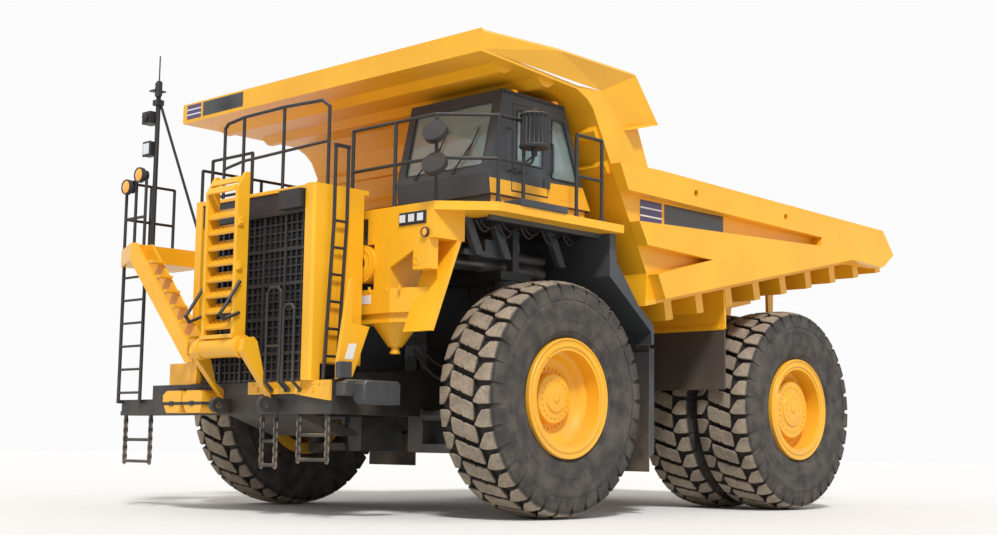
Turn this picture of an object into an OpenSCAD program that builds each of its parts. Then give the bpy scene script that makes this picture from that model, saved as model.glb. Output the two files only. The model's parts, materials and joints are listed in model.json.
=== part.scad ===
// Rigid-frame mining dump truck, empty, standing on its six tyres.
// Built with x forward from the front axle, y to the left and z up from the ground, then
// moved along x so that the origin lies under the middle of the whole truck.

/* [Running gear] */
// Distance between the front and the rear axle
wheelbase = 5350; // [5200:10:5500]
// Outer radius of an unloaded tyre
tyre_r = 1530; // [1500:5:1540]
// Width of a tyre
tyre_w = 950; // [900:5:960]
// Depth of the grooves between the tread lugs
groove_depth = 80; // [70:1:90]
// Width of the grooves across a shoulder
groove_w = 72; // [60:1:80]
// Number of lugs round each shoulder
lug_n = 33; // [30:1:36]
// Radius of the bead seat of a rim
bead_r = 648; // [640:1:660]
// Outer radius of the rim flanges
flange_r = 770; // [740:5:790]
// Sideways distance of a front tyre's middle from the centre line
front_track = 2620; // [2600:5:2660]
// Sideways distance of an outer rear tyre's middle from the centre line
rear_outer = 2690; // [2680:5:2720]
// Sideways distance of an inner rear tyre's middle from the centre line
rear_inner = 1630; // [1610:5:1640]
// Sideways distance of a steering pivot from the centre line
kingpin_y = 1930; // [1900:5:1940]

/* [Frame] */
// Middle of a frame rail from the centre line
rail_y = 630; // [600:5:650]
// Width of a frame rail
rail_w = 290; // [260:5:300]
// Front face of the bumper beam
bumper_x = 2700; // [2650:10:2750]
// Half width of the bumper beam
bumper_half = 1560; // [1500:10:1600]

// Middle of a towing eye
tow_x = 2880; // [2860:5:2900]
// Radius of a towing eye's hole
tow_r = 45; // [40:1:50]

/* [Dump bed] */
// Slope of the bed floor in degrees
floor_slope = 11.8; // [11.4:0.1:12.4]
// Forward end of the bed floor
toe_x = -1700; // [-1740:5:-1680]
// Height of the bed floor at its forward end
toe_z = 2855; // [2840:5:2880]
// Length of the bed floor along its slope
floor_len = 6860; // [6750:10:6950]
// Thickness of floor and wall plates
plate_t = 50; // [30:5:60]
// Half width of the bed over its side rails
bed_half = 3140; // [3120:5:3160]
// How far the side rails stand out from the side plates
rail_out = 180; // [140:5:200]
// Depth of the cross bolsters under the floor
bolster_h = 270; // [240:5:300]
// Number of cross bolsters
bolster_n = 9; // [7:1:10]
// Front face of the first cross bolster, back along the floor
bolster_first = 500; // [480:5:520]
// Spacing of the cross bolsters along the floor
bolster_pitch = 760; // [740:5:770]
// Least gap between a wheel guard and the rear tyre
guard_gap = 80; // [60:5:85]
// Depth of the long beams under the bolsters
beam_h = 320; // [280:5:340]
// Distance of the bed pivot below the long beams
pivot_drop = 330; // [320:5:360]
// Distance of the bed pivot from the floor's forward end, along the slope
pivot_run = 4860; // [4800:10:4950]
// Radius of the lifting holes in the bed's side rails
lift_hole_r = 50; // [45:1:55]
// Radius of the bed pivot pin
pivot_r = 90; // [70:5:110]

/* [Canopy] */
// Front edge of the canopy
canopy_x = 1800; // [1750:10:1850]
// Height of the canopy's top edge
canopy_z = 6040; // [5950:10:6060]
// Depth of the canopy's front fascia
fascia_h = 290; // [250:5:320]

/* [Hoists] */
// Sideways distance of a hoist from the centre line
hoist_y = 955; // [945:5:965]
// Outer radius of a hoist barrel
hoist_r = 160; // [140:2:165]
// Wall of the hoist barrels and sleeves
hoist_wall = 30; // [20:1:32]

/* [Cab and decks] */
// Height of the deck's walking surface
deck_z = 3900; // [3860:5:3920]
// Half width of the decks
deck_half = 3050; // [3020:5:3080]
// Half width of the radiator shell
shell_half = 1270; // [1240:5:1290]
// Width of the radiator shell's front columns
column_w = 170; // [150:5:190]
// Front face of the radiator shell
shell_x = 2800; // [2760:5:2840]
// Top of the radiator shell
shell_z = 4150; // [4100:5:4200]
// Inner side of the cab
cab_y0 = 880; // [850:5:900]
// Walkway between the cab's outer side and the deck's edge
side_walk = 450; // [430:5:490]
// Top of the cab roof
cab_z = 5500; // [5460:5:5520]
// Thickness of the cab's walls
cab_wall = 60; // [45:1:70]
// Diameter of the handrail pipes
pipe_d = 45; // [36:1:50]

/* [Front steps] */
// Height of the boarding ladder's hinge
ladder_z = 2120; // [2080:5:2160]
// Length of the boarding ladder from its hinge
ladder_len = 2250; // [2000:10:2300]
// Width of the boarding ladder
ladder_w = 700; // [660:5:720]
// Middle of the boarding ladder from the centre line
ladder_y = -150; // [-200:10:-100]

/* [Fits] */
// Radial gap between a pin and its bore
pin_gap = 0.3; // [0.2:0.05:0.5]
// Gap between moving faces
run_gap = 8; // [6:1:12]

/* [Hidden] */
$fn = 48;

yellow = [1.0, 0.68, 0.05];
black = [0.09, 0.09, 0.10];
slate = [0.22, 0.24, 0.26];
rubber = [0.13, 0.13, 0.13];
steel = [0.72, 0.73, 0.75];
glassy = [0.55, 0.70, 0.72, 0.4];

// Rear end of the truck: the floor's lip
tail_x = toe_x - floor_len * cos(floor_slope);
// Foremost point: the boarding ladder's front
ladder_x = 3080;
// The ladder's hand loops stand out this far ahead of its hinge
loop_out = 320;
nose_x = ladder_x + loop_out + pipe_d * 0.53;
origin_x = -(nose_x + tail_x) / 2;

cab_y1 = deck_half - side_walk;
rail_in = rail_y - rail_w / 2;
rail_out_y = rail_y + rail_w / 2;
plate_y = bed_half - rail_out;
beam_w = rail_w + 2 * run_gap;
under_floor = bolster_h + beam_h;
pivot = [
    toe_x - pivot_run * cos(floor_slope) - (under_floor + pivot_drop) * sin(floor_slope),
    toe_z + pivot_run * sin(floor_slope) - (under_floor + pivot_drop) * cos(floor_slope)];
pivot_end_r = pivot_drop - 30;

// Hoist pins: foot on the frame, head on the bed's long beam, as [x, z]
hoist_foot = [-4150, 1300];
hoist_head = [-3850, 2880];
hoist_len = norm(hoist_head - hoist_foot);
hoist_tilt = atan2(hoist_head[0] - hoist_foot[0], hoist_head[1] - hoist_foot[1]);
sleeve_r = hoist_r - hoist_wall - pin_gap;
rod_r = sleeve_r - hoist_wall - pin_gap;

// Move a piece from the front axle's frame to the truck's own origin
module on_truck() translate([origin_x, 0, 0]) children();

// Outline given as [x, z] points, carried across from y0 to y1
module across(points, y0, y1)
    translate([0, y1, 0]) rotate([90, 0, 0]) linear_extrude(y1 - y0) polygon(points);

// Outline given as [y, z] points, carried forward from x0 to x1
module along(points, x0, x1)
    translate([x0, 0, 0]) rotate([90, 0, 90]) linear_extrude(x1 - x0) polygon(points);

// Outline given as [x, y] points, carried up from z0 to z1
module upright(points, z0, z1)
    translate([0, 0, z0]) linear_extrude(z1 - z0) polygon(points);

// Box between two corners
module block(low, high) translate(low) cube(high - low);

// Children on the left, and mirrored on the right
module both_sides() {
    children();
    mirror([0, 1, 0]) children();
}

// Bar between two points, round unless sides says otherwise
module bar(a, b, d, sides = 16) {
    v = b - a;
    translate(a)
        rotate([0, acos(v[2] / norm(v)), atan2(v[1], v[0])])
            cylinder(h = norm(v), d = d, $fn = sides);
}

// Round bar along y
module crossbar(x, z, y0, y1, r) translate([x, y1, z]) rotate([90, 0, 0]) cylinder(h = y1 - y0, r = r);

// Bent pipe through a list of points, each bar a little thinner than its round corners
module pipe(points, d) {
    for (i = [0 : len(points) - 2]) bar(points[i], points[i + 1], d);
    for (i = [1 : len(points) - 2]) translate(points[i]) sphere(d = d * 1.06, $fn = 16);
}

// Children placed in the bed floor's own frame: x back to the toe, z up from the floor plate's underside
module on_floor() translate([toe_x, 0, toe_z]) rotate([0, floor_slope, 0]) children();

function floor_z(x) = toe_z + (toe_x - x) * tan(floor_slope);

// Point [x, z] at a run back along the floor and a height above its underside
function floor_point(run, up) = [
    toe_x - run * cos(floor_slope) + up * sin(floor_slope),
    toe_z + run * sin(floor_slope) + up * cos(floor_slope)];

// Frame

module frame_rail() {
    top = [for (x = [-1900, -3000, -4500, -5800]) [x, floor_z(x) - under_floor / cos(floor_slope) - run_gap]];
    outline = concat(
        [[bumper_x - 300, 1300], [bumper_x - 300, 1690], [1500, 1850], [-1200, 2050]],
        top,
        [[pivot[0] + pivot_end_r * 0.6, pivot[1] + pivot_end_r * 0.8],
         [pivot[0], pivot[1] + pivot_end_r], [pivot[0], pivot[1] - pivot_end_r],
         [-6150, 2240], [-4800, 2240], [-4450, 1150], [-3900, 1150], [-3500, 1650],
         [-1700, 1450], [-900, 1300]]);
    difference() {
        union() {
            across(outline, rail_in, rail_out_y);
            crossbar(pivot[0], pivot[1], rail_in, rail_out_y, pivot_end_r);
        }
        crossbar(pivot[0], pivot[1], rail_in - 1, rail_out_y + 1, pivot_r + pin_gap);
    }
}

module frame() color(black) on_truck() {
    both_sides() frame_rail();
    // Cross members between the rails: [x, z, radius]
    for (m = [[1900, 1480, 110], [-2050, 2000, 130], [-3300, 2150, 150], [-4050, 1350, 100], [-6100, 2650, 150]])
        crossbar(m[0], m[1], -rail_in, rail_in, m[2]);
    // Hoist foot pins
    both_sides() crossbar(hoist_foot[0], hoist_foot[1], rail_out_y, hoist_y + 90, 70);
    // Hoop over the front axle that carries the decks and the front struts
    both_sides() {
        block([-350, rail_out_y, 1950], [350, rail_out_y + 60, 3220]);
        block([-300, rail_out_y + 60, 3100], [300, kingpin_y + 180, 3220]);
    }
    block([-350, -rail_out_y, 3100], [350, rail_out_y, 3220]);
}

// Front bumper beam with its skid pan
module bumper() color(black) on_truck() {
    across([[bumper_x - 300, 1280], [bumper_x - 20, 1280], [bumper_x - 20, 1690], [bumper_x - 300, 1690]],
           -2300, bumper_half);
    across([[bumper_x - 300, 1280], [bumper_x - 150, 1280], [bumper_x - 900, 1020], [bumper_x - 1200, 1020],
            [bumper_x - 1200, 1080], [bumper_x - 500, 1280]], -700, 700);
    // Towing eyes
    both_sides() difference() {
        union() {
            block([bumper_x - 20, 460, 1300], [tow_x, 540, 1480]);
            crossbar(tow_x, 1400, 460, 540, 100);
        }
        crossbar(tow_x, 1400, 459, 541, tow_r);
    }
}

// Yellow face panels of the bumper
module bumper_panels() color(yellow) on_truck() {
    along([[-60, 1530], [860, 1530], [1270, 1475], [bumper_half, 1440], [bumper_half, 1690], [-60, 1690]],
          bumper_x - 20, bumper_x + 20);
    // Two strapped boxes with bevelled ends, and a locker, on the far side: [inner y, width]
    for (b = [[-1650, 420], [-1190, 440]])
        along([[b[0], 1440], [b[0] + 90, 1300], [b[0] + b[1] - 40, 1300], [b[0] + b[1], 1440],
               [b[0] + b[1], 1550], [b[0] + b[1] - 50, 1595], [b[0] + 90, 1595], [b[0], 1540]],
              bumper_x - 20, bumper_x + 240);
    block([bumper_x - 300, -1900, 1690], [bumper_x - 20, -1350, 1980]);
}

module engine() color(slate) on_truck() block([450, -450, 1700], [2250, 450, 3400]);

module driveline() color(slate) on_truck() {
    block([-1700, -330, 1250], [-900, 330, 1900]);
    crossbar_x(-4700, -1700, 0, 1560, 90);
    crossbar_x(-900, 450, 0, 1750, 200);
}

// Round bar along x
module crossbar_x(x0, x1, y, z, r) translate([x0, y, z]) rotate([0, 90, 0]) cylinder(h = x1 - x0, r = r);

// Radiator shell: two chamfered front columns, a hood sheet bent down at its front, and side sheets
module radiator_shell() color(yellow) on_truck() {
    inner = shell_half - column_w;
    both_sides() {
        upright([[shell_x - 160, inner], [shell_x, inner], [shell_x, shell_half - 30],
                 [shell_x - 30, shell_half], [shell_x - 160, shell_half]], 1690, shell_z);
        block([1980, shell_half - 60, 1900], [shell_x - 160, shell_half, shell_z - 60]);
    }
    across([[1900, shell_z - 60], [1900, shell_z], [shell_x - 50, shell_z], [shell_x, shell_z - 30],
            [shell_x, shell_z - 60]], -inner, inner);
    both_sides() block([1900, inner, shell_z - 60], [shell_x - 160, shell_half, shell_z]);
}

// Width of the grille's openings
mesh_pitch = 110;

// Black grille between the columns: header with a bolted-on case, and a deep square mesh
module grille() color(black) on_truck() {
    inner = shell_half - column_w;
    header_z = shell_z - 350;
    block([shell_x - 140, -inner, header_z], [shell_x - 20, inner, shell_z - 60]);
    block([shell_x - 20, inner - 450, header_z + 50], [shell_x + 70, inner - 20, shell_z - 62]);
    block([shell_x - 140, -inner, 1690], [shell_x - 100, inner, header_z]);
    // Every fourth bar is a stouter one that carries the mesh
    for (i = [1 : floor(2 * inner / mesh_pitch) - 1]) {
        w = i % 4 == 0 ? 22 : 10;
        block([shell_x - 102, -inner + i * mesh_pitch - w, 1690], [shell_x - 70 + w, -inner + i * mesh_pitch + w, header_z + 1]);
    }
    for (i = [1 : floor((header_z - 1690) / mesh_pitch)]) {
        w = i % 4 == 0 ? 22 : 10;
        block([shell_x - 102, -inner, header_z - i * mesh_pitch - w], [shell_x - 74 + w, inner, header_z - i * mesh_pitch + w]);
    }
}

// Ladder folded up in front of the grille, hinged on two blocks on the bumper
module boarding_ladder() color(yellow) on_truck() translate([0, ladder_y, 0]) {
    half = ladder_w / 2;
    top = ladder_z + ladder_len;
    difference() {
        union() {
            // Stringers with sloped heads
            for (y = [-half, half - 60])
                across([[ladder_x - 90, ladder_z], [ladder_x + 90, ladder_z], [ladder_x + 90, top - 220],
                        [ladder_x - 30, top], [ladder_x - 90, top]], y, y + 60);
            crossbar(ladder_x, ladder_z, -half - 120, half + 120, 130);
            // Two hinge collars and the rest that the ladder stands on when it is down
            for (y = [-half - 100, half + 20]) crossbar(ladder_x, ladder_z, y, y + 80, 145);
            block([ladder_x + 60, -half, ladder_z + 110], [ladder_x + 110, half, ladder_z + 160]);
        }
        crossbar(ladder_x, ladder_z, -half - 121, half + 121, 60 + pin_gap);
    }
    // Trays, tipped so that they lie level when the ladder is down
    for (z = [ladder_z + 300 : 205 : top - 380])
        translate([ladder_x, -half + 58, z]) rotate([0, 40, 0])
            translate([-100, 0, -15]) cube([200, ladder_w - 116, 30]);
    // Slats of the sloped head
    for (h = [60, 190])
        translate([ladder_x - 30 + h * 0.48, -half + 58, top - 15 - h * 0.87]) rotate([0, 61, 0])
            cube([90, ladder_w - 116, 25]);
}

// Hand loops bolted to the ladder's stringers, one on each side
module ladder_loops() color(black) on_truck() translate([0, ladder_y, 0]) {
    half = ladder_w / 2;
    tip = ladder_x + loop_out;
    for (y = [-half - pipe_d / 2 - pin_gap, half + pipe_d / 2 + pin_gap])
        pipe([[ladder_x + 30, y, ladder_z + 830], [tip - 60, y, ladder_z + 480], [tip, y, ladder_z + 400],
              [tip - 60, y, ladder_z + 330], [ladder_x + 30, y, ladder_z + 430]], pipe_d);
}

// Hinge lugs and pin of the boarding ladder, and the fixed stair up to the right deck
module fixed_stair() color(yellow) on_truck() {
    half = ladder_w / 2;
    translate([0, ladder_y, 0]) {
        crossbar(ladder_x, ladder_z, -half - 120 - run_gap - 100, half + 120 + run_gap + 100, 60);
        hinge_lug(bumper_x - 20, -half - 120 - run_gap - 100);
        hinge_lug(bumper_x + 20, half + 120 + run_gap);
    }
    y0 = ladder_y - half - 120 - run_gap - 100;
    // Foot plate and the two stringers up to the right landing
    block([shell_x + 40, y0 - 160, ladder_z - 170], [shell_x + 340, y0, ladder_z - 90]);
    for (x = [shell_x + 40, shell_x + 300])
        along([[-2300, 3650], [-2300, 3410], [y0 - 160, ladder_z - 170], [y0 - 100, ladder_z - 90],
               [y0 - 100, ladder_z + 80], [-2180, 3650]], x, x + 40);
    for (i = [1 : 6])
        block([shell_x + 80, y0 - 100 - i * 190, ladder_z + i * 215 - 60], [shell_x + 300, y0 - i * 190 + 60, ladder_z + i * 215 - 30]);
}

// Lug that holds the end of the ladder's pin, seated on the bumper's face
module hinge_lug(seat_x, y)
    across([[seat_x, 1480], [seat_x, 1600], [shell_x + 20, 1690], [ladder_x - 120, ladder_z + 60],
            [ladder_x - 60, ladder_z + 120], [ladder_x + 90, ladder_z + 90], [ladder_x + 110, ladder_z - 60]], y, y + 100);

// Headlamps, a round lamp below them, and two round lamps on the landing's rail
module lamps() color(steel) on_truck() {
    both_sides() {
        for (y = [1880, 2040, 2200]) block([1900, y, 3655], [1930, y + 130, 3780]);
    }
    crossbar_x(1900, 1935, 2350, 3520, 55);
    for (p = rail_lamps) crossbar_x(p[0], p[0] + 60, p[1], p[2], 100);
}

// Round lamps that look forward from the landing's rail: [back, y, z]
rail_lamps = [[2783.8, -2960, 4560], [2783.8, -2640, 4700]];

// Underside of the lamp boxes
box_z = 3450;

// Left and right decks
module deck_outline(z0, z1)
    upright([[1900, shell_half], [1900, deck_half - 560], [1340, deck_half], [-1120, deck_half], [-1120, 600],
             [-350, 600], [-350, shell_half]], z0, z1);

module decks() color(yellow) on_truck() {
    both_sides() {
        deck_outline(deck_z - 110, deck_z);
        // Box under the front of the deck that holds the headlamps
        difference() {
            block([1360, shell_half, box_z], [1900, deck_half - 570, deck_z - 110]);
            block([1420, shell_half + 60, box_z + 60], [1840, deck_half - 630, deck_z - 109]);
        }
    }
    block([-350, -shell_half, deck_z - 110], [1900, shell_half, deck_z]);
    // Landing at the head of the fixed stair, a step lower on the right
    upright([[1900, -2300], [1900, -3100], [2780, -3100], [shell_x + 340, -2300]], 3410, 3650);
}

// Dark struts and fender plates below the decks, as wide as the bed's front wall behind them
module deck_supports() color(slate) on_truck() both_sides() {
    mud_y = plate_y - plate_t - 10;
    // Bent mudguard behind the front tyre
    across([[-1000, deck_z - 110], [-1060, deck_z - 110], [-1060, 3240], [-1980, 2540], [-1980, 2340], [-1920, 2340],
            [-1920, 2510], [-1000, 3210]], 1250, mud_y);
    across([[-1060, deck_z - 110], [-1120, deck_z - 110], [-1150, 3420], [-1630, 2860], [-1980, 2600],
            [-1980, 2540], [-1060, 3240]], mud_y - 50, mud_y);
    // Posts between the hoop and the deck
    for (y = [1300, 1980]) block([-60, y, 3220], [60, y + 120, deck_z - 110]);
    // Slanted struts under the deck's edge, with a box hung between the front pair: foot x
    for (x = [-700, 380, 900])
        across([[x, 3330], [x + 130, 3330], [x + 380, deck_z - 110], [x + 230, deck_z - 110]], 2300, 2380);
    block([430, 2000, 3330], [800, 2300, 3560]);
    block([380, 2250, 3330], [1180, 2302, 3400]);
    // Ledge along the deck's outer edge
    block([-1000, deck_half - 330, deck_z - 170], [1200, deck_half - 290, deck_z - 110]);
}

// Air cleaner on each side: bevelled pan with a stepped bottom, dust cone and spout, and the intake drum
pan = [[1900, 990], [1900, 1706], [1720, 2215], [1560, 2215], [1300, 1760], [1300, 990]];

module air_cleaners() color(yellow) on_truck() both_sides() {
    upright(pan, 2560, 2870);
    upright([for (p = pan) [p[0] + (p[0] > 1600 ? -40 : 40), p[1] + (p[1] > 1400 ? -50 : 50)]], 2440, 2561);
    translate([1600, 1500, 2150]) cylinder(h = 291, r1 = 90, r2 = 300);
    translate([1600, 1500, 2060]) cylinder(h = 100, r = 55);
    difference() {
        translate([1300, 1200, 3205]) rotate([0, 90, 0]) cylinder(h = 650, r = 245);
        translate([1900, 1200, 3205]) rotate([0, 90, 0]) cylinder(h = 60, r = 70);
    }
    across([[1900, 2869], [1900, box_z], [1360, box_z], [1360, 2869]], 1400, 1700);
    // Slanted gusset under the lamp box, and the small case below it
    along([[1699, 3130], [1699, box_z], [2420, box_z]], 1860, 1900);
    block([1740, 2120, 3070], [1900, 2400, box_z]);
    // Leg from the lamp box down beside the wheel
    across([[1410, box_z], [1480, box_z], [1940, 2300], [1870, 2300]], 2000, 2480);
}

module handrails() color(black) on_truck() {
    z1 = deck_z + 1100;
    z2 = deck_z + 550;
    edge = deck_half - 50;
    for (z = [z1, z2]) {
        pipe([[1850, 880, z], [1850, edge - 550, z], [1310, edge, z], [850, edge, z]], pipe_d);
        pipe([[-180, edge, z], [-700, edge, z]], pipe_d);
        pipe([[1850, -1300, z], [1850, -edge + 750, z]], pipe_d);
        pipe([[1500, -edge, z], [-700, -edge, z]], pipe_d);
    }
    for (p = [[1850, 880], [1850, 1700], [1850, edge - 550], [1310, edge], [850, edge], [-180, edge], [-700, edge],
              [1850, -1300], [1850, -edge + 750], [1500, -edge], [400, -edge], [-700, -edge]])
        bar([p[0], p[1], deck_z], [p[0], p[1], z1], pipe_d * 1.1);
    hood_rail();
    landing_rail();
}

// Hoop frame on the radiator shell: a bent top rail, a middle rail and four posts
module hood_rail() {
    top = shell_z + 1130;
    pipe([[2450, -1130, shell_z], [2450, -1130, top - 60], [2450, -1060, top], [2450, -700, top + 40],
          [2450, 175, top + 50], [2450, 950, top + 20], [2450, 1100, top - 80], [2450, 1100, shell_z]], pipe_d);
    pipe([[2450, -1130, shell_z + 500], [2450, -700, shell_z + 560], [2450, 1100, shell_z + 600]], pipe_d * 0.9);
    for (y = [-700, 175]) bar([2450, y, shell_z], [2450, y, top + 45], pipe_d);
}

// Rails of the landing on the right
module landing_rail() {
    front = 2760;
    side = -3060;
    for (z = [4100, 4640]) pipe([[1950, side, z], [front, side, z], [front, -2560, z]], pipe_d * 0.9);
    for (p = [[1950, side], [2350, side], [front, side], [front, -2810], [front, -2560]])
        bar([p[0], p[1], 3650], [p[0], p[1], 4640], pipe_d);
    // Stalk that lifts the inner round lamp
    bar([front, -2640, 4640], [front, -2640, 4800], pipe_d * 0.8);
}

// Black hoops that stand before the grille on the bumper's face: [inner y, outer y, top z]
module grille_hoop() {
    x = bumper_x + 20 + pipe_d / 2 + pin_gap;
    out = x + 110;
    for (h = [[460, 740, 2860], [800, 1010, 2630]])
        pipe([[x, h[0], 1550], [x, h[0], 1590], [out, h[0], 1680], [out, h[0], h[2] - 60], [out, h[0] + 60, h[2]],
              [out, h[1] - 60, h[2]], [out, h[1], h[2] - 60], [out, h[1], 1680], [x, h[1], 1590], [x, h[1], 1550]],
             pipe_d * 0.9);
    bar([out, 460, 2120], [out, 740, 2120], pipe_d * 0.8);
}

// Ladder that leans along the radiator shell's left side, from the bumper to the deck
module side_ladder() {
    y = shell_half + 70;
    foot_x = [bumper_x - 60, bumper_x - 270];
    lean = -110;
    top = 4650;
    for (x = foot_x) {
        bar([x, y, 1692], [x + lean, y, 3700], pipe_d, 8);
        bar([x + lean, y, 3680], [x + lean, y, top], pipe_d, 8);
    }
    block([foot_x[1] + lean - 20, y - 20, top - 20], [foot_x[0] + lean + 20, y + 20, top + 20]);
    for (z = [1990 : 340 : 3700]) {
        t = (z - 1690) / 2010;
        bar([foot_x[0] + lean * t, y, z], [foot_x[1] + lean * t, y, z], pipe_d * 0.8, 8);
    }
}

// Steps hung on chains under the bumper: links alternate across and along
chain_link = 62;
module chain(x, y, z0, z1)
    for (i = [0 : floor((z1 - z0) / chain_link)]) {
        w = i % 2 == 0 ? [14, 30] : [30, 14];
        block([x - w[0], y - w[1], z0 + i * chain_link], [x + w[0], y + w[1], min(z1, z0 + (i + 1) * chain_link + 8)]);
    }

module chain_steps() color(black) on_truck() {
    x = bumper_x - 60;
    // Hanging steps: [low y, high y, foot z]
    for (s = [[860, 1490, 690], [120, 480, 610], [-3050, -2340, 610]]) {
        for (y = [s[0] + 40, s[1] - 40]) chain(x, y, s[2], 1279);
        for (z = [s[2] + 30, s[2] + 330]) bar([x, s[0] + 40, z], [x, s[1] - 40, z], 44);
    }
    // Platform at the foot of the far ladder
    block([bumper_x - 300, -3100, 1280], [bumper_x - 20, -2300, 1340]);
    block([bumper_x - 280, -3090, 1338], [bumper_x - 30, -2320, 1500]);
    // Far ladder with its outer handrail
    ladder = bumper_x + 20;
    for (y = [-3110, -2560]) bar([ladder, y, 1450], [ladder, y, 3409.7], 50);
    for (z = [1600 : 330 : 3300]) bar([ladder, -3110, z], [ladder, -2560, z], 36);
    for (y = [-3090, -2580]) block([bumper_x - 60, y - 20, 1450], [ladder, y + 20, 1500]);
    grille_hoop();
    side_ladder();
}

// Mast with a lamp, a camera and its antenna plates
module mast() color(black) on_truck() {
    bar([2400, -2900, 3650], [2400, -2900, 6200], 70);
    bar([2400, -2900, 6200], [2400, -2900, 6580], 20);
    bar([1870, -2500, deck_z + 12], [2380, -2880, 5870], 40, 8);
    block([2340, -2960, 5830], [2460, -2840, 5910]);
    block([1830, -2540, deck_z], [1900, -2460, deck_z + 50]);
    // Cases on the mast: [low corner, high corner]
    for (c = [[[2370, -3110, 5080], [2500, -2925, 5290]], [[2350, -3130, 5560], [2520, -2925, 5740]],
              [[2300, -3000, 6040], [2500, -2860, 6060]], [[2420, -2880, 5950], [2480, -2780, 6160]]])
        block(c[0], c[1]);
}

module mirrors() color(black) on_truck() for (z = [4300, 4700]) {
    translate([2000, 2600, z]) rotate([0, 60, 20]) cylinder(h = 80, r = 160);
    bar([1868, 2467.4, z], [2010, 2603, z], 30);
}

module tanks() color(slate) on_truck() both_sides()
    across([[-1950, 900], [-2050, 790], [-2580, 790], [-2640, 850], [-2640, 2340], [-1920, 2340]], rail_out_y, 2400);

module exhaust() color(steel) on_truck()
    for (z = [3310 + pin_gap, 3485]) crossbar_x(-900, 900, 1750, z, 90);

module suspension() color(slate) on_truck() both_sides() {
    // Lower arm with its ball boss and pin
    difference() {
        upright([[-450, rail_out_y], [-140, kingpin_y + 40], [140, kingpin_y + 40], [450, rail_out_y]], 820, 930);
        upright([[-250, rail_out_y + 150], [-60, kingpin_y - 350], [60, kingpin_y - 350], [250, rail_out_y + 150]],
                819, 931);
    }
    translate([0, kingpin_y, 780]) cylinder(h = 150, r = 140);
    translate([0, kingpin_y, 930]) cylinder(h = 100, r = 60);
    block([-400, rail_in, 820], [400, rail_out_y, 1300]);
    // Strut
    translate([0, kingpin_y, 2330]) cylinder(h = 770, r = 165);
    translate([0, kingpin_y, 2130]) cylinder(h = 200, r = 100);
    // Rear suspension cylinders
    translate([-wheelbase, rail_y, 1900]) cylinder(h = 340, r = 120);
}

module knuckle() {
    difference() {
        union() {
            translate([0, kingpin_y, 930 + run_gap]) cylinder(h = 1384, r = 150);
            crossbar(0, tyre_r, kingpin_y, front_track - 30, 140);
            crossbar(0, tyre_r, kingpin_y + 160, kingpin_y + 260, 430);
            upright([[0, kingpin_y + 120], [-560, kingpin_y + 60], [-560, kingpin_y - 60], [0, kingpin_y - 120]], 1150, 1230);
            upright([[0, kingpin_y - 120], [460, kingpin_y - 60], [460, kingpin_y + 60], [0, kingpin_y + 120]], 1150, 1230);
        }
        translate([0, kingpin_y, 900]) cylinder(h = 140, r = 60 + pin_gap);
        translate([0, kingpin_y, 2120]) cylinder(h = 210, r = 100 + pin_gap);
    }
}

module knuckle_left() color(black) on_truck() knuckle();
module knuckle_right() color(black) on_truck() mirror([0, 1, 0]) knuckle();

tie_x = -500;
module tie_rod() color(steel) on_truck() {
    crossbar(tie_x, 1085, -kingpin_y, kingpin_y, 40);
    both_sides() translate([tie_x, kingpin_y, 1030]) cylinder(h = 120 - pin_gap, r = 65);
}

cylinder_x = 400;
module steering_barrels() color(slate) on_truck() both_sides() {
    block([cylinder_x - 60, rail_out_y, 1180], [cylinder_x + 60, rail_out_y + 60, 1400]);
    difference() {
        crossbar(cylinder_x, 1310, rail_out_y + 60, rail_out_y + 660, 70);
        crossbar(cylinder_x, 1310, rail_out_y + 75, rail_out_y + 661, 40 + pin_gap);
    }
}

module steering_rod() {
    crossbar(cylinder_x, 1310, rail_out_y + 290, kingpin_y, 40);
    translate([cylinder_x, kingpin_y, 1230 + pin_gap]) cylinder(h = 130, r = 60);
}
module steering_rod_left() color(steel) on_truck() steering_rod();
module steering_rod_right() color(steel) on_truck() mirror([0, 1, 0]) steering_rod();

// Rear axle housing with its final drives
module rear_axle() color(slate) on_truck() {
    translate([-wheelbase, 0, tyre_r]) sphere(r = 520);
    crossbar(-wheelbase, tyre_r, -rear_inner + 720, rear_inner - 720, 330);
    crossbar(-wheelbase, tyre_r, -rear_outer + 60, rear_outer - 60, 200);
    crossbar_x(-4950, -4700, 0, 1560, 150);
    both_sides() {
        block([-wheelbase - 140, rail_y - 120, 1700], [-wheelbase + 140, rail_y + 120, 1900]);
        // Link to the frame's cross member
        difference() {
            across([[-wheelbase + 150, 1350], [-4050, 1210], [-3910, 1350], [-4050, 1490], [-wheelbase + 150, 1600]], 300, 440);
            crossbar(-4050, 1350, 299, 441, 100 + pin_gap);
        }
    }
}

// Tyres, wheels

// Half section of a tyre as [radius, offset from the middle], hollow, open to the rim
module tyre_section() {
    w = tyre_w / 2;
    difference() {
        polygon([
            [bead_r + pin_gap, -w + 100], [flange_r + 5, -w + 98], [flange_r + 60, -w + 60],
            [1000, -w + 12], [1150, -w], [1300, -w + 10], [tyre_r - 90, -w + 35], [tyre_r - 15, -w + 90],
            [tyre_r, -w + 170], [tyre_r, w - 170], [tyre_r - 15, w - 90], [tyre_r - 90, w - 35], [1300, w - 10],
            [1150, w], [1000, w - 12], [flange_r + 60, w - 60], [flange_r + 5, w - 98], [bead_r + pin_gap, w - 100]]);
        polygon([
            [bead_r - 10, -w + 245], [1000, -w + 120], [1250, -w + 120], [tyre_r - 190, -w + 200],
            [tyre_r - 190, w - 200], [1250, w - 120], [1000, w - 120], [bead_r - 10, w - 245]]);
    }
}

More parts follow.
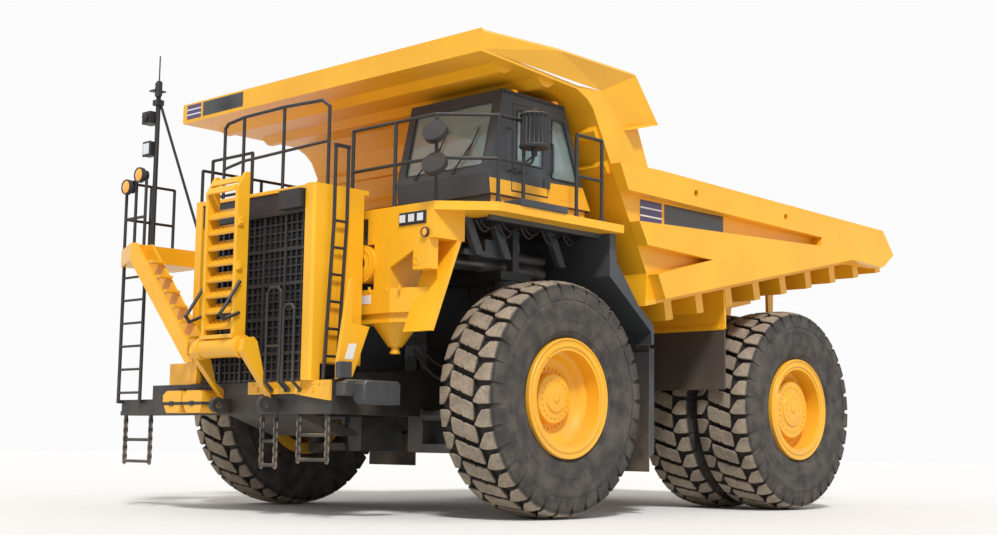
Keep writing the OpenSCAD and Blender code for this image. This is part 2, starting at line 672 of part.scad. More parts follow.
// Grooves that leave the tread's lugs standing. The tyre's axis is z here
module tread_grooves() {
    w = tyre_w / 2;
    floor_r = tyre_r - groove_depth;
    out_r = tyre_r + 10;
    pitch = 360 / lug_n;
    // Across each shoulder, running out down the sidewall, staggered by half a pitch from side to side
    for (side = [0, 1], k = [0 : lug_n - 1])
        mirror([0, 0, side]) rotate([90, 0, (k + side / 2) * pitch]) translate([0, 0, -groove_w / 2])
            linear_extrude(groove_w)
                polygon([[floor_r + 4, w * 0.37], [floor_r + 4, w - 100], [tyre_r - 190, w + 10], [out_r, w + 10],
                         [out_r, w * 0.37]]);
    // Round the tread, between the middle blocks and the shoulders
    for (side = [0, 1]) mirror([0, 0, side]) rotate_extrude($fn = 96)
        polygon([[floor_r, w * 0.33], [out_r, w * 0.33], [out_r, w * 0.41], [floor_r, w * 0.41]]);
    // Slanted, between the middle blocks
    for (k = [0 : lug_n - 1]) rotate([0, 0, (k + 0.25) * pitch]) translate([floor_r + 64, 0, 0]) rotate([20, 0, 0])
        cube([120, groove_w / 2, w * 0.72], center = true);
}

module tyre(y) translate([0, y, tyre_r]) rotate([90, 0, 0]) difference() {
    rotate_extrude($fn = 96) tyre_section();
    tread_grooves();
}

module tyre_front_left() color(rubber) on_truck() tyre(front_track);
module tyre_front_right() color(rubber) on_truck() tyre(-front_track);
module tyres_rear_left() color(rubber) on_truck() translate([-wheelbase, 0, 0]) {
    tyre(rear_outer);
    tyre(rear_inner);
}
module tyres_rear_right() color(rubber) on_truck() translate([-wheelbase, 0, 0]) {
    tyre(-rear_outer);
    tyre(-rear_inner);
}

// Rim barrel and flanges as [radius, offset from the middle]
module rim_section() {
    w = tyre_w / 2;
    polygon([
        [bead_r - 35, -w + 95], [flange_r, -w + 95], [flange_r, -w + 60 + 50 - 15], [flange_r, -w + 60 - 5],
        [flange_r - 20, -w + 55 - 5], [bead_r - 35, -w + 55 - 5]]);
    polygon([
        [bead_r - 35, w - 95], [flange_r, w - 95], [flange_r, w - 55], [flange_r - 20, w - 50], [bead_r - 35, w - 50]]);
    polygon([[bead_r - 35, -w + 95], [bead_r, -w + 95], [bead_r, w - 95], [bead_r - 35, w - 95]]);
}

// Front wheel: rim, dished disc and hub. Positive offset is outboard
module front_wheel() {
    union() {
        union() {
            rotate_extrude($fn = 72) rim_section();
            rotate_extrude($fn = 72) polygon([
                [140 + pin_gap, -200], [300, -200], [300, 0], [430, 20], [bead_r - 35, 140], [bead_r - 35, 210],
                [565, 190], [520, 110], [440, 80], [330, 80], [330, 150], [312, 180], [180, 196], [170, 214],
                [70, 222], [0, 222], [0, 0], [140 + pin_gap, 0]]);
        }
    }
}

module wheel_at(side, y) translate([0, side * y, tyre_r]) rotate([-90 * side, 0, 0]) children();

module wheel_front_left() color(yellow) on_truck() wheel_at(1, front_track) front_wheel();
module wheel_front_right() color(yellow) on_truck() wheel_at(-1, front_track) front_wheel();

// Rear wheels: two rims on one hub drum with the final drive's cover outboard
module rear_wheels() {
    gap = rear_outer - rear_inner;
    rotate_extrude($fn = 72) rim_section();
    translate([0, 0, -gap]) rotate_extrude($fn = 72) rim_section();
    rotate_extrude($fn = 72) polygon([
        [200 + pin_gap, -gap - 200], [bead_r - 35, -gap - 200], [bead_r - 35, -gap + 200], [500, -gap + 200],
        [500, 60], [bead_r - 35, 60], [bead_r - 35, 170], [560, 150], [470, 150], [440, 175], [440, 285], [425, 305],
        [260, 305], [250, 325], [120, 335], [0, 335], [0, 0], [200 + pin_gap, 0]]);
}
module wheels_rear_left() color(yellow) on_truck() translate([-wheelbase, 0, 0]) wheel_at(1, rear_outer) rear_wheels();
module wheels_rear_right() color(yellow) on_truck() translate([-wheelbase, 0, 0]) wheel_at(-1, rear_outer) rear_wheels();

// Cab

cab_floor_z = 4100;
cab_side = [[1070, 4380], [1036, cab_floor_z], [-950, cab_floor_z], [-771, 4417], [-380, cab_z - 20], [814, cab_z]];
door_x0 = -60;
door_x1 = 640;
door_z0 = 4180;
door_z1 = 5340;

// Window outlines in the cab's sides, as [x, z]
near_pane = [[-690, 4450], [-130, 4450], [-130, 5250], [-370, 5250]];
far_pane = [[-690, 4500], [900, 4500], [760, 5250], [-400, 5250]];

module cab_shell() color(slate) on_truck() difference() {
    union() {
        across(cab_side, cab_y0, cab_y1);
        block([-880, cab_y0 + 50, deck_z], [980, cab_y1 - 50, cab_floor_z]);
    }
    across([[1070 - cab_wall, 4380], [1036 - cab_wall, cab_floor_z + cab_wall],
            [-950 + 1.2 * cab_wall, cab_floor_z + cab_wall], [-771 + 1.2 * cab_wall, 4417],
            [-380 + 0.7 * cab_wall, cab_z - 20 - cab_wall], [814 - 0.9 * cab_wall, cab_z - cab_wall]],
           cab_y0 + cab_wall, cab_y1 - cab_wall);
    // Windscreen
    along([[cab_y0 + 140, 4480], [cab_y1 - 140, 4480], [cab_y1 - 140, cab_z - 160], [cab_y0 + 140, cab_z - 160]], 700, 1100);
    // Rear window
    along([[cab_y0 + 200, 4700], [cab_y1 - 200, 4700], [cab_y1 - 200, cab_z - 250], [cab_y0 + 200, cab_z - 250]], -800, -300);
    // Door opening
    block([door_x0, cab_y1 - cab_wall - 1, door_z0], [door_x1, cab_y1 + 1, door_z1]);
    across(near_pane, cab_y1 - cab_wall - 1, cab_y1 + 1);
    across(far_pane, cab_y0 - 1, cab_y0 + cab_wall + 1);
}

module cab_glass() color(glassy) on_truck() {
    across(near_pane, cab_y1 - cab_wall + 20, cab_y1 - cab_wall + 30);
    across(far_pane, cab_y0 + cab_wall - 30, cab_y0 + cab_wall - 20);
    // Windscreen and rear pane lie in the sloped walls
    across([[1026, 4480], [1014, 4480], [820, cab_z - 160], [832, cab_z - 160]], cab_y0 + 140, cab_y1 - 140);
    across([[-640, 4700], [-628, 4700], [-424, cab_z - 250], [-436, cab_z - 250]], cab_y0 + 200, cab_y1 - 200);
}

// Door hinge knuckles, just outside the cab's skin at the door's rear edge
hinge_r = 22;
hinge_h = 130;
hinge_y = cab_y1 + hinge_r + pin_gap;

// Door with its hinge leaves
module cab_door() color(slate) on_truck() {
    difference() {
        block([door_x0 + pin_gap, cab_y1 - cab_wall, door_z0 + 6], [door_x1 - 6, cab_y1, door_z1 - 6]);
        block([door_x0 + 90, cab_y1 - cab_wall - 1, 4560], [door_x1 - 90, cab_y1 + 1, 5260]);
    }
    for (z = [door_z0 + 120, door_z1 - 250]) {
        translate([door_x0 + pin_gap, hinge_y, z]) cylinder(h = hinge_h, r = hinge_r);
        block([door_x0 + pin_gap, cab_y1 - 1, z + 10], [door_x0 + 80, hinge_y, z + hinge_h - 10]);
    }
}

module door_glass() color(glassy) on_truck()
    block([door_x0 + 90, cab_y1 - cab_wall + 20, 4560], [door_x1 - 90, cab_y1 - cab_wall + 30, 5260]);

module cab_seat() color(black) on_truck() {
    base = cab_floor_z + cab_wall;
    block([-150, 1540, base], [150, 1840, base + 150]);
    block([-200, 1480, base + 150], [300, 1980, base + 280]);
    block([-320, 1480, base + 280], [-200, 1980, base + 900]);
    bar([760, 1730, base + 20], [600, 1730, base + 450], 80);
    block([700, 1670, base], [820, 1790, base + 40]);
}

// Dump bed

// Thickness of the front wall where it meets the floor
wall_foot = 58;
// Front wall's outer face from its top edge down to the floor's toe, as [x, z]
wall_line = [[-560, 5430], [-1139, 4374], [-1733, 3310], [toe_x, toe_z]];
// Side plate's outline: front wall, floor, tail and top edge
side_outline = concat(wall_line, [
    [-7050, floor_z(-7050)], [-8050, 4000], [tail_x, floor_z(tail_x)], [-8060, 4630], [-1790, 4750],
    [-1530, 5315], [-1222, 5238], [-735, 5700], [-232, 5680], [-232, 5630], [-430, 5540]]);

module bed_floor() color(yellow) on_truck() on_floor()
    block([-floor_len, -plate_y + plate_t, 0], [-wall_foot, plate_y - plate_t, plate_t]);

module bed_front_wall() color(yellow) on_truck() {
    inner = plate_y - plate_t;
    across(concat(wall_line, [floor_point(wall_foot, 0), floor_point(wall_foot, plate_t)],
                  [for (i = [2 : -1 : 0]) wall_line[i] - [plate_t * 1.15, 0]]), -inner, inner);
    // Bevelled ribs across the wall's face, by their run up its top panel
    for (u = [260, 760]) {
        along_wall = (wall_line[0] - wall_line[1]) / norm(wall_line[0] - wall_line[1]);
        out = [along_wall[1], -along_wall[0]];
        foot = wall_line[1] + along_wall * u;
        across([foot - out * 3, foot + along_wall * 200 - out * 3, foot + along_wall * 150 + out * 70,
                foot + along_wall * 50 + out * 70], -inner, inner);
    }
}

module bed_sides() color(yellow) on_truck() both_sides() difference() {
    union() {
    across(side_outline, plate_y - plate_t, plate_y);
    difference() {
        across([[-925, 4724], [-1790, 4750], [-8060, 4630], [tail_x, floor_z(tail_x) - 10], [-8050, 4000], [-7050, 4030], [-3540, 3300],
                [-1930, 2960], [-1760, 3290], [-1530, 3670], [-1340, 3980], [-1106, 4375]], plate_y, bed_half);
        across([[-900, 4375], [-1106, 4375], [-6080, 4290], [-6030, 4150], [-1340, 3980], [-1200, 3980]], plate_y, bed_half + 1);
        across([[-1400, 3670], [-1530, 3670], [-3060, 3620], [-1760, 3290], [-1600, 3290]], plate_y, bed_half + 1);
    }
    }
    // Lifting holes
    for (p = [[-2660, 4540], [-5020, 4490]]) crossbar(p[0], p[1], plate_y - plate_t - 1, bed_half + 1, lift_hole_r);
}

// Three-cornered sheet whose thickness is the vector t
module facet(a, b, c, t) {
    p = cross(b - a, c - a) * t < 0 ? [a, c, b] : [a, b, c];
    polyhedron(concat(p, [for (q = p) q + t]),
               [[0, 1, 2], [5, 4, 3], [0, 3, 4, 1], [1, 4, 5, 2], [2, 5, 3, 0]]);
}

// Corners of the canopy's flared side, as [x, y, z] on the outer face: nose, top edge, rear edge, fold
flare = [[canopy_x, bed_half, 5720], [330, bed_half, canopy_z - 40], [-1260, bed_half, canopy_z - 60],
         [-1764, bed_half, 5378], [-1298, bed_half, 5249], [-1222, plate_y, 5238], [-735, plate_y, 5700]];
flare_t = [0, -40, 40];

// Underside of the roof plate
function roof_z(x) = 5630 + 60 * (x + 232) / (canopy_x - 40 + 232);

module bed_canopy() color(yellow) on_truck() {
    inner = plate_y - plate_t;
    // Roof plate, wider at the front, bent down to meet the front wall
    intersection() {
        across([[canopy_x - 40, 5690], [canopy_x - 40, 5690 + plate_t], [-232, 5630 + plate_t], [-232, 5630]],
               -bed_half, bed_half);
        upright([[canopy_x - 40, -bed_half], [canopy_x - 40, bed_half], [-232, plate_y], [-233, plate_y],
                 [-233, -plate_y], [-232, -plate_y]], 5500, 5900);
    }
    across([[-232, 5630], [-232, 5630 + plate_t], [-470, 5560 + plate_t], [-560 - plate_t * 1.15, 5430],
            wall_line[0], [-430, 5540]], -inner, inner);
    block([canopy_x - 40, -bed_half, 5690], [canopy_x, bed_half, canopy_z - 60]);
    // Tapered ribs across the underside
    for (x = [1150, 330])
        across([[x - 190, roof_z(x - 190) + 5], [x + 190, roof_z(x + 190) + 5], [x + 45, roof_z(x) - 85],
                [x - 45, roof_z(x) - 85]], -2900, 2900);
    // Flared sides: corners of each facet by their place in the list
    both_sides() {
        for (f = [[0, 1, 6], [1, 2, 6], [2, 3, 6], [3, 5, 6], [3, 4, 5]])
            facet(flare[f[0]], flare[f[1]], flare[f[2]], flare_t);
        facet(flare[0], flare[1], [canopy_x, bed_half, canopy_z - 100], flare_t);
    }
}

module bed_beams() color(yellow) on_truck() {
    on_floor() {
        for (i = [0 : bolster_n - 1])
            translate([-bolster_first - i * bolster_pitch, 0, 0])
                block([-170, -plate_y + plate_t, -bolster_h], [0, plate_y - plate_t, 0]);
        both_sides() block([-5900, rail_y - beam_w / 2, -under_floor], [-420, rail_y + beam_w / 2, -bolster_h]);
    }
    both_sides() {
        for (y = [rail_y - beam_w / 2 - 58, rail_y + beam_w / 2 - 2])
            across([[pivot[0] + 300, floor_z(pivot[0] + 300) - bolster_h - 60], [pivot[0] - 300, floor_z(pivot[0] - 300) - bolster_h - 60],
                    [pivot[0] - 180, pivot[1] - 60], [pivot[0] - 60, pivot[1] - 190], [pivot[0] + 60, pivot[1] - 190],
                    [pivot[0] + 180, pivot[1] - 60]], y, y + 60);
        crossbar(pivot[0], pivot[1], rail_y - beam_w / 2 - 80, rail_y + beam_w / 2 + 80, pivot_r);
        // Boss that each hoist head bears on
        crossbar(hoist_head[0], hoist_head[1], rail_y + beam_w / 2 - 3, hoist_y - 60 - run_gap, 110);
    }
}

// Wheel guards hang on the front face of the last bolster that clears the rear tyres
guard_limit = (toe_x + wheelbase - tyre_r - guard_gap - bolster_h * sin(floor_slope)) / cos(floor_slope);
guard_run = bolster_first + bolster_pitch * floor((guard_limit - bolster_first) / bolster_pitch);
guard_t = 30;
flap_inset = 20;

module bed_guards() color(yellow) on_truck() both_sides() {
    top = floor_point(guard_run, 0);
    foot = floor_point(guard_run, -bolster_h) + [0.1, 0];
    y0 = rear_inner - tyre_w * 0.4;
    y1 = bed_half - 240;
    across([foot, [foot[0], 2680], [foot[0] + guard_t, 2680], top + [12, -30], top + [0.1, -1]], y0, y1);
    // Rubber flap below
    across([[foot[0] + 5, 1790], [foot[0] + 5, 2680], [foot[0] + guard_t - 5, 2680], [foot[0] + guard_t - 5, 1790]],
           y0 + flap_inset, y1 - flap_inset);
}

module rock_ejectors() color(yellow) on_truck() both_sides() {
    a = floor_point(4300, -bolster_h);
    b = floor_point(4470, -bolster_h);
    across([a, b, [b[0] + 30, 2750], [a[0] - 30, 2750]], 2135, 2185);
}

// Hoists: two-stage telescopic cylinders

module at_hoist() translate([hoist_foot[0], hoist_y, hoist_foot[1]]) rotate([0, hoist_tilt, 0]) children();

module hoist_barrel() at_hoist() difference() {
    union() {
        crossbar(0, 0, -75, 75, 150);
        translate([0, 0, 80]) cylinder(h = 1230, r = hoist_r);
    }
    crossbar(0, 0, -76, 76, 70 + pin_gap);
    translate([0, 0, 170]) cylinder(h = 1200, r = hoist_r - hoist_wall);
}

module hoist_sleeve() at_hoist() difference() {
    union() {
        translate([0, 0, 180]) cylinder(h = 1200, r = sleeve_r);
        translate([0, 0, 1320]) cylinder(h = 70, r = hoist_r - 10);
    }
    translate([0, 0, 220]) cylinder(h = 1200, r = rod_r + pin_gap);
}

module hoist_rod() at_hoist() {
    translate([0, 0, 230]) cylinder(h = hoist_len - 230 - 125, r = rod_r);
    translate([0, 0, hoist_len - 130]) cylinder(h = 60, r = 58);
    crossbar(0, hoist_len, -60, 60, 120);
}

module hoist_barrel_left() color(slate) on_truck() hoist_barrel();
module hoist_barrel_right() color(slate) on_truck() mirror([0, 1, 0]) hoist_barrel();
module hoist_sleeve_left() color(steel) on_truck() hoist_sleeve();
module hoist_sleeve_right() color(steel) on_truck() mirror([0, 1, 0]) hoist_sleeve();
module hoist_rod_left() color(steel) on_truck() hoist_rod();
module hoist_rod_right() color(steel) on_truck() mirror([0, 1, 0]) hoist_rod();

frame();
bumper();
bumper_panels();
engine();
driveline();
radiator_shell();
grille();
boarding_ladder();
ladder_loops();
fixed_stair();
lamps();
decks();
deck_supports();
air_cleaners();
handrails();
chain_steps();
mast();
mirrors();
tanks();
exhaust();
suspension();
rear_axle();
steering_barrels();
steering_rod_left();
steering_rod_right();
tie_rod();
knuckle_left();
knuckle_right();
tyre_front_left();
tyre_front_right();
tyres_rear_left();
tyres_rear_right();
wheel_front_left();
wheel_front_right();
wheels_rear_left();
wheels_rear_right();
cab_shell();
cab_glass();
cab_door();
door_glass();
cab_seat();
bed_floor();
bed_front_wall();
bed_sides();
bed_canopy();
bed_beams();
bed_guards();
rock_ejectors();
hoist_barrel_left();
hoist_barrel_right();
hoist_sleeve_left();
hoist_sleeve_right();
hoist_rod_left();
hoist_rod_right();
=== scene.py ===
import json
import math

import bmesh
import bpy
import numpy as np
from mathutils import Matrix, Vector


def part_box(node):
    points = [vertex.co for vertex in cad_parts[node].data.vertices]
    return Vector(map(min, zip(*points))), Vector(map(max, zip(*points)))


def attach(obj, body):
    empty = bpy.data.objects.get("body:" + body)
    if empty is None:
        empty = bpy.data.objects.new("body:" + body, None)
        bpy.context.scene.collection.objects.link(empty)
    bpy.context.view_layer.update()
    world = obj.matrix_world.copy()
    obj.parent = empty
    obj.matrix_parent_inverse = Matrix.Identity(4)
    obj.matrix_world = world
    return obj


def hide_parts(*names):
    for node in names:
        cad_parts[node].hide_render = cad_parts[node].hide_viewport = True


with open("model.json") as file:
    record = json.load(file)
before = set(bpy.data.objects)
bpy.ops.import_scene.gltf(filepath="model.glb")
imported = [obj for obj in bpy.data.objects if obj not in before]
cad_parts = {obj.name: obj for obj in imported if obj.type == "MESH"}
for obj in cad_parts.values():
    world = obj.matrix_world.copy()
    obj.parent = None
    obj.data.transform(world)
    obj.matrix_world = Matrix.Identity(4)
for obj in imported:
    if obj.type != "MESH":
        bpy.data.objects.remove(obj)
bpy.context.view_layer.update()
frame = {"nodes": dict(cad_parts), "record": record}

# Axles, read from the frame. Points below are metres from the front axle, y to the left, z up
frontLow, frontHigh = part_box("tyre_front_left")
rearLow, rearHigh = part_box("tyres_rear_left")
frontAxleX = (frontLow.x + frontHigh.x) / 2
rearAxleX = (rearLow.x + rearHigh.x) / 2 - frontAxleX
axleZ = (frontLow.z + frontHigh.z) / 2
tyreRadius = (frontHigh.z - frontLow.z) / 2
tyreWidth = frontHigh.y - frontLow.y
frontTrack = (frontLow.y + frontHigh.y) / 2
rearOuter = rearHigh.y - tyreWidth / 2
rearInner = rearLow.y + tyreWidth / 2
print("frame: axles at", round(frontAxleX, 3), round(rearAxleX, 3), "tyre radius", round(tyreRadius, 3))


# Camera

def newObject(name, data):
    made = bpy.data.objects.new(name, data)
    bpy.context.scene.collection.objects.link(made)
    return made


camera = {
    "place": (14.012, 15.064, 0.929),
    "yaw": math.radians(-136.53),
    "pitch": math.radians(7.03),
    "roll": math.radians(0.74),
    "focalPixels": 1439.3,
    "imageWidth": 997,
    "sensor": 36.0,
    "clipEnd": 400,
}


def placeCamera(values):
    yaw, pitch, roll = values["yaw"], values["pitch"], values["roll"]
    ahead = Vector((math.cos(pitch) * math.cos(yaw), math.cos(pitch) * math.sin(yaw), math.sin(pitch)))
    right = ahead.cross(Vector((0, 0, 1))).normalized()
    above = right.cross(ahead)
    tiltedRight = right * math.cos(roll) + above * math.sin(roll)
    tiltedAbove = above * math.cos(roll) - right * math.sin(roll)
    data = bpy.data.cameras.new("camera")
    data.sensor_width = values["sensor"]
    data.lens = values["focalPixels"] * values["sensor"] / values["imageWidth"]
    data.clip_end = values["clipEnd"]
    holder = newObject("camera", data)
    turn = Matrix((tiltedRight, tiltedAbove, -ahead)).transposed().to_4x4()
    x, y, z = values["place"]
    holder.matrix_world = Matrix.Translation((x + frontAxleX, y, z)) @ turn
    bpy.context.scene.camera = holder


placeCamera(camera)
bpy.context.scene.view_settings.view_transform = "Standard"


# Shader maths

class Signal:
    # One output of a node, so that shader maths reads as sums
    def __init__(self, bench, socket):
        self.bench = bench
        self.socket = socket

    def __add__(self, other):
        return self.bench.maths("ADD", self, other)

    def __radd__(self, other):
        return self.bench.maths("ADD", other, self)

    def __sub__(self, other):
        return self.bench.maths("SUBTRACT", self, other)

    def __rsub__(self, other):
        return self.bench.maths("SUBTRACT", other, self)

    def __mul__(self, other):
        return self.bench.maths("MULTIPLY", self, other)

    def __rmul__(self, other):
        return self.bench.maths("MULTIPLY", other, self)

    def clamped(self):
        return self.bench.node("ShaderNodeClamp", {}, {"Value": self})

    def between(self, low, high):
        # 0 below low, 1 above high and a smooth rise between
        return self.bench.node("ShaderNodeMapRange", {"interpolation_type": "SMOOTHSTEP"},
                               {"Value": self, "From Min": low, "From Max": high})


class Bench:
    # The node tree of one material or world
    def __init__(self, holder):
        self.holder = holder
        holder.use_nodes = True
        self.tree = holder.node_tree
        self.tree.nodes.clear()

    def feed(self, made, key, value):
        # A signal is wired in, a number is set, and a colour gets an alpha of 1
        if isinstance(value, Signal):
            self.tree.links.new(value.socket, made.inputs[key])
        else:
            made.inputs[key].default_value = (*value, 1.0) if isinstance(value, tuple) else value

    def node(self, kind, settings=None, sockets=None, output=0):
        # Settings are set before sockets. The signal is the named output, or none for a tree's last node
        made = self.tree.nodes.new(kind)
        for key, value in (settings or {}).items():
            setattr(made, key, value)
        for key, value in (sockets or {}).items():
            self.feed(made, key, value)
        return Signal(self, made.outputs[output]) if made.outputs else None

    def maths(self, operation, first, second=0.0):
        return self.node("ShaderNodeMath", {"operation": operation}, {0: first, 1: second})

    def place(self):
        return self.node("ShaderNodeTexCoord", output="Object")

    def part(self, vector, axis):
        return self.node("ShaderNodeSeparateXYZ", {}, {0: vector}, "XYZ"[axis])

    def noise(self, place, scale, detail=4.0, rough=0.55):
        return self.node("ShaderNodeTexNoise", {},
                         {"Vector": place, "Scale": scale, "Detail": detail, "Roughness": rough}, "Fac")

    def mix(self, share, first, second):
        # Colours, each a tuple or another signal
        return self.node("ShaderNodeMix", {"data_type": "RGBA"}, {0: share, 6: first, 7: second}, 2)

    def bump(self, height, strength, distance):
        return self.node("ShaderNodeBump", {}, {"Strength": strength, "Distance": distance, "Height": height})

    def finish(self, **sockets):
        # Principled surface, with short names for its sockets
        names = {"colour": "Base Color", "rough": "Roughness", "metal": "Metallic", "normal": "Normal",
                 "coat": "Coat Weight", "coatRough": "Coat Roughness", "alpha": "Alpha",
                 "glow": "Emission Color", "glowStrength": "Emission Strength",
                 "specular": "Specular IOR Level"}
        inputs = {names[key]: value for key, value in sockets.items()}
        surface = self.node("ShaderNodeBsdfPrincipled", {}, inputs)
        self.node("ShaderNodeOutputMaterial", {}, {"Surface": surface})
        return self.holder


def newMaterial(name):
    # The bench of a new material, and its object coordinates
    bench = Bench(bpy.data.materials.new(name))
    return bench, bench.place()


# Finishes

dustColour = (0.42, 0.3, 0.19)


def dustMask(bench, place, settled, low):
    # Dust settles on faces that look up, and is thrown up over the lowest two metres
    facingUp = bench.part(bench.node("ShaderNodeNewGeometry", output="Normal"), 2).between(0.35, 0.95)
    lowness = 1 - bench.part(place, 2).between(0.2, 2.4)
    patches = bench.noise(place, 2.3, 5.0).between(0.38, 0.68)
    return ((facingUp * settled + lowness * low) * (patches * 0.75 + 0.25)).clamped()


def paintFinish(name, colour, values):
    # Sprayed paint: a faint orange-peel bump, slow fading over the panel, and settled dust
    bench, place = newMaterial(name)
    faded = tuple(c * values["fade"] for c in colour)
    body = bench.mix(bench.noise(place, 0.9, 3.0).between(0.35, 0.7), faded, colour)
    scuffs = bench.noise(place, 31.0, 6.0, 0.7).between(0.62, 0.78) * values["scuffs"]
    body = bench.mix(scuffs, body, values["scuffColour"])
    dust = dustMask(bench, place, values["settled"], values["low"])
    body = bench.mix(dust, body, dustColour)
    rough = bench.noise(place, 9.0, 4.0) * 0.12 + (values["rough"] - 0.06) + dust * 0.35
    peel = bench.noise(place, 140.0, 2.0)
    return bench.finish(colour=body, rough=rough, normal=bench.bump(peel, 0.1, 0.002),
                        coat=values["coat"], coatRough=0.15)


def metalFinish(name, colour, rough, grime):
    # Bare metal with a fine grain and some grime in patches
    bench, place = newMaterial(name)
    grain = bench.noise(place, 60.0, 8.0, 0.8)
    dirt = bench.noise(place, 3.0, 5.0).between(0.45, 0.75) * grime
    body = bench.mix(dirt, colour, (0.12, 0.1, 0.08))
    return bench.finish(colour=body, metal=1.0 - dirt, rough=grain * 0.15 + rough + dirt * 0.4,
                        normal=bench.bump(grain, 0.06, 0.001))


# Tyre rubber. The crown falls by crownFall times the offset to the power of crownPower, and the tops of lugs
# and grooves are given as heights from it
rubber = {
    "crownFall": 0.52,
    "crownPower": 2.9,
    "lugTop": (-0.026, -0.007),
    "grooveTop": (-0.05, -0.025),
    "grooveRadius": (1.4, 1.44),
    "ringRadius": (1.2, 1.26),  # radius at which the sidewall's rings fade
    "wall": ((0.03, 0.027, 0.025), (0.085, 0.072, 0.06)),
    "tread": ((0.235, 0.185, 0.135), (0.46, 0.375, 0.28)),
    "grooveColour": (0.022, 0.018, 0.015),
}


def rubberFinish(name, axleX, middles, values):
    # Told apart by the distance from its axle: dusty tread tops, dark grooves, ringed sidewall
    bench, place = newMaterial(name)
    x = bench.part(place, 0) - (axleX + frontAxleX)
    z = bench.part(place, 2) - axleZ
    radius = bench.maths("SQRT", x * x + z * z)
    across = bench.maths("ABSOLUTE", bench.part(place, 1))
    offset = bench.maths("ABSOLUTE", across - middles[0])
    for middle in middles[1:]:
        offset = bench.maths("MINIMUM", offset, bench.maths("ABSOLUTE", across - middle))
    fall = bench.maths("POWER", offset, values["crownPower"])
    height = radius - (tyreRadius - values["crownFall"] * fall)
    top = height.between(*values["lugTop"])
    groove = radius.between(*values["grooveRadius"]) * (1 - height.between(*values["grooveTop"]))
    grain = bench.noise(place, 38.0, 8.0, 0.7)
    patches = bench.noise(place, 5.0, 5.0).between(0.3, 0.72)
    wall = bench.mix(patches, *values["wall"])
    tread = bench.mix(grain.between(0.3, 0.75), *values["tread"])
    body = bench.mix(top * (patches * 0.35 + 0.65), wall, tread)
    body = bench.mix(groove * 0.85, body, values["grooveColour"])
    rings = bench.maths("SINE", radius * 150.0) * (1 - radius.between(*values["ringRadius"])) * 0.25
    bump = bench.bump(grain * 0.8 + rings, 0.35, 0.006)
    return bench.finish(colour=body, rough=0.8 + top * 0.12, normal=bump)


def plainRubberFinish(name, colour):
    # Hoses, flaps, mats and chains, with dust on them
    bench, place = newMaterial(name)
    grain = bench.noise(place, 45.0, 6.0, 0.7)
    dust = dustMask(bench, place, 0.5, 0.4)
    body = bench.mix(dust, colour, dustColour)
    return bench.finish(colour=body, rough=grain * 0.2 + 0.6, normal=bench.bump(grain, 0.2, 0.003))


def glassFinish(name):
    # Tinted pane with a little haze in patches
    bench, place = newMaterial(name)
    haze = bench.noise(place, 4.0, 5.0).between(0.45, 0.8) * 0.1
    return bench.finish(colour=(0.36, 0.5, 0.5), rough=haze + 0.03, alpha=haze + 0.34, specular=0.8,
                        coat=1.0, coatRough=0.03)


def lampFinish(name, colour, glow):
    # Lens with a pattern of small vertical flutes
    bench, place = newMaterial(name)
    flutes = bench.maths("SINE", bench.part(place, 1) * 700.0)
    return bench.finish(colour=colour, rough=0.12, normal=bench.bump(flutes, 0.25, 0.002),
                        glow=colour, glowStrength=glow, coat=1.0, coatRough=0.05)


def fabricFinish(name, colour):
    # Seat cloth with a woven bump
    bench, place = newMaterial(name)
    warp, weft = (bench.maths("SINE", bench.part(place, axis) * 900.0) for axis in (1, 2))
    worn = bench.mix(bench.noise(place, 12.0), colour, tuple(c * 1.6 for c in colour))
    return bench.finish(colour=worn, rough=0.9, normal=bench.bump(warp * weft, 0.3, 0.002))


yellow = (0.9, 0.445, 0.014)
cleanPaint = {"fade": 0.9, "scuffs": 0.1, "scuffColour": (0.55, 0.3, 0.05), "settled": 0.1, "low": 0.3,
              "rough": 0.4, "coat": 0.12}
darkPaint = {"fade": 0.7, "scuffs": 0.35, "scuffColour": (0.16, 0.14, 0.12), "settled": 0.45, "low": 0.25,
             "rough": 0.5, "coat": 0.0}
decal = {"fade": 0.92, "scuffs": 0.05, "scuffColour": (0.3, 0.24, 0.18), "settled": 0.0, "low": 0.0,
         "rough": 0.3, "coat": 0.3}
finishes = {
    "yellow": paintFinish("truckYellow", yellow, cleanPaint),
    "black": paintFinish("frameBlack", (0.02, 0.02, 0.022), darkPaint),
    "slate": paintFinish("cabGrey", (0.052, 0.058, 0.066), darkPaint),
    "frontTyre": rubberFinish("frontTyreRubber", 0.0, [frontTrack], rubber),
    "rearTyre": rubberFinish("rearTyreRubber", rearAxleX, [rearOuter, rearInner], rubber),
    "rod_steel": metalFinish("hardChrome", (0.72, 0.72, 0.74), 0.12, 0.2),
    "pipe_steel": metalFinish("wornSteel", (0.2, 0.19, 0.18), 0.42, 0.7),
    "glass": glassFinish("cabPane"),
    "trim": fabricFinish("seatCloth", (0.03, 0.03, 0.033)),
    "flap": plainRubberFinish("flapRubber", (0.03, 0.028, 0.027)),
    "mat": plainRubberFinish("guardRubber", (0.062, 0.05, 0.041)),
    "chain": plainRubberFinish("dustyChain", (0.15, 0.135, 0.118)),
    "lens": lampFinish("clearLens", (0.66, 0.7, 0.74), 0.03),
    "amber": lampFinish("amberLens", (0.9, 0.32, 0.02), 0.3),
    "violet": paintFinish("stripeViolet", (0.05, 0.03, 0.13), decal),
    "white": paintFinish("stripeWhite", (0.8, 0.8, 0.78), decal),
    "blank": paintFinish("blankPanel", (0.03, 0.032, 0.034), decal),
    "mirror": metalFinish("mirrorGlass", (0.75, 0.78, 0.8), 0.02, 0.05),
}
nodeFinish = {"tyre_front_left": "frontTyre", "tyre_front_right": "frontTyre", "tyres_rear_left": "rearTyre",
              "tyres_rear_right": "rearTyre", "lamps": "trim"}
slots = {part["node"]: part["material_slot"] for part in frame["record"]["subparts"]}
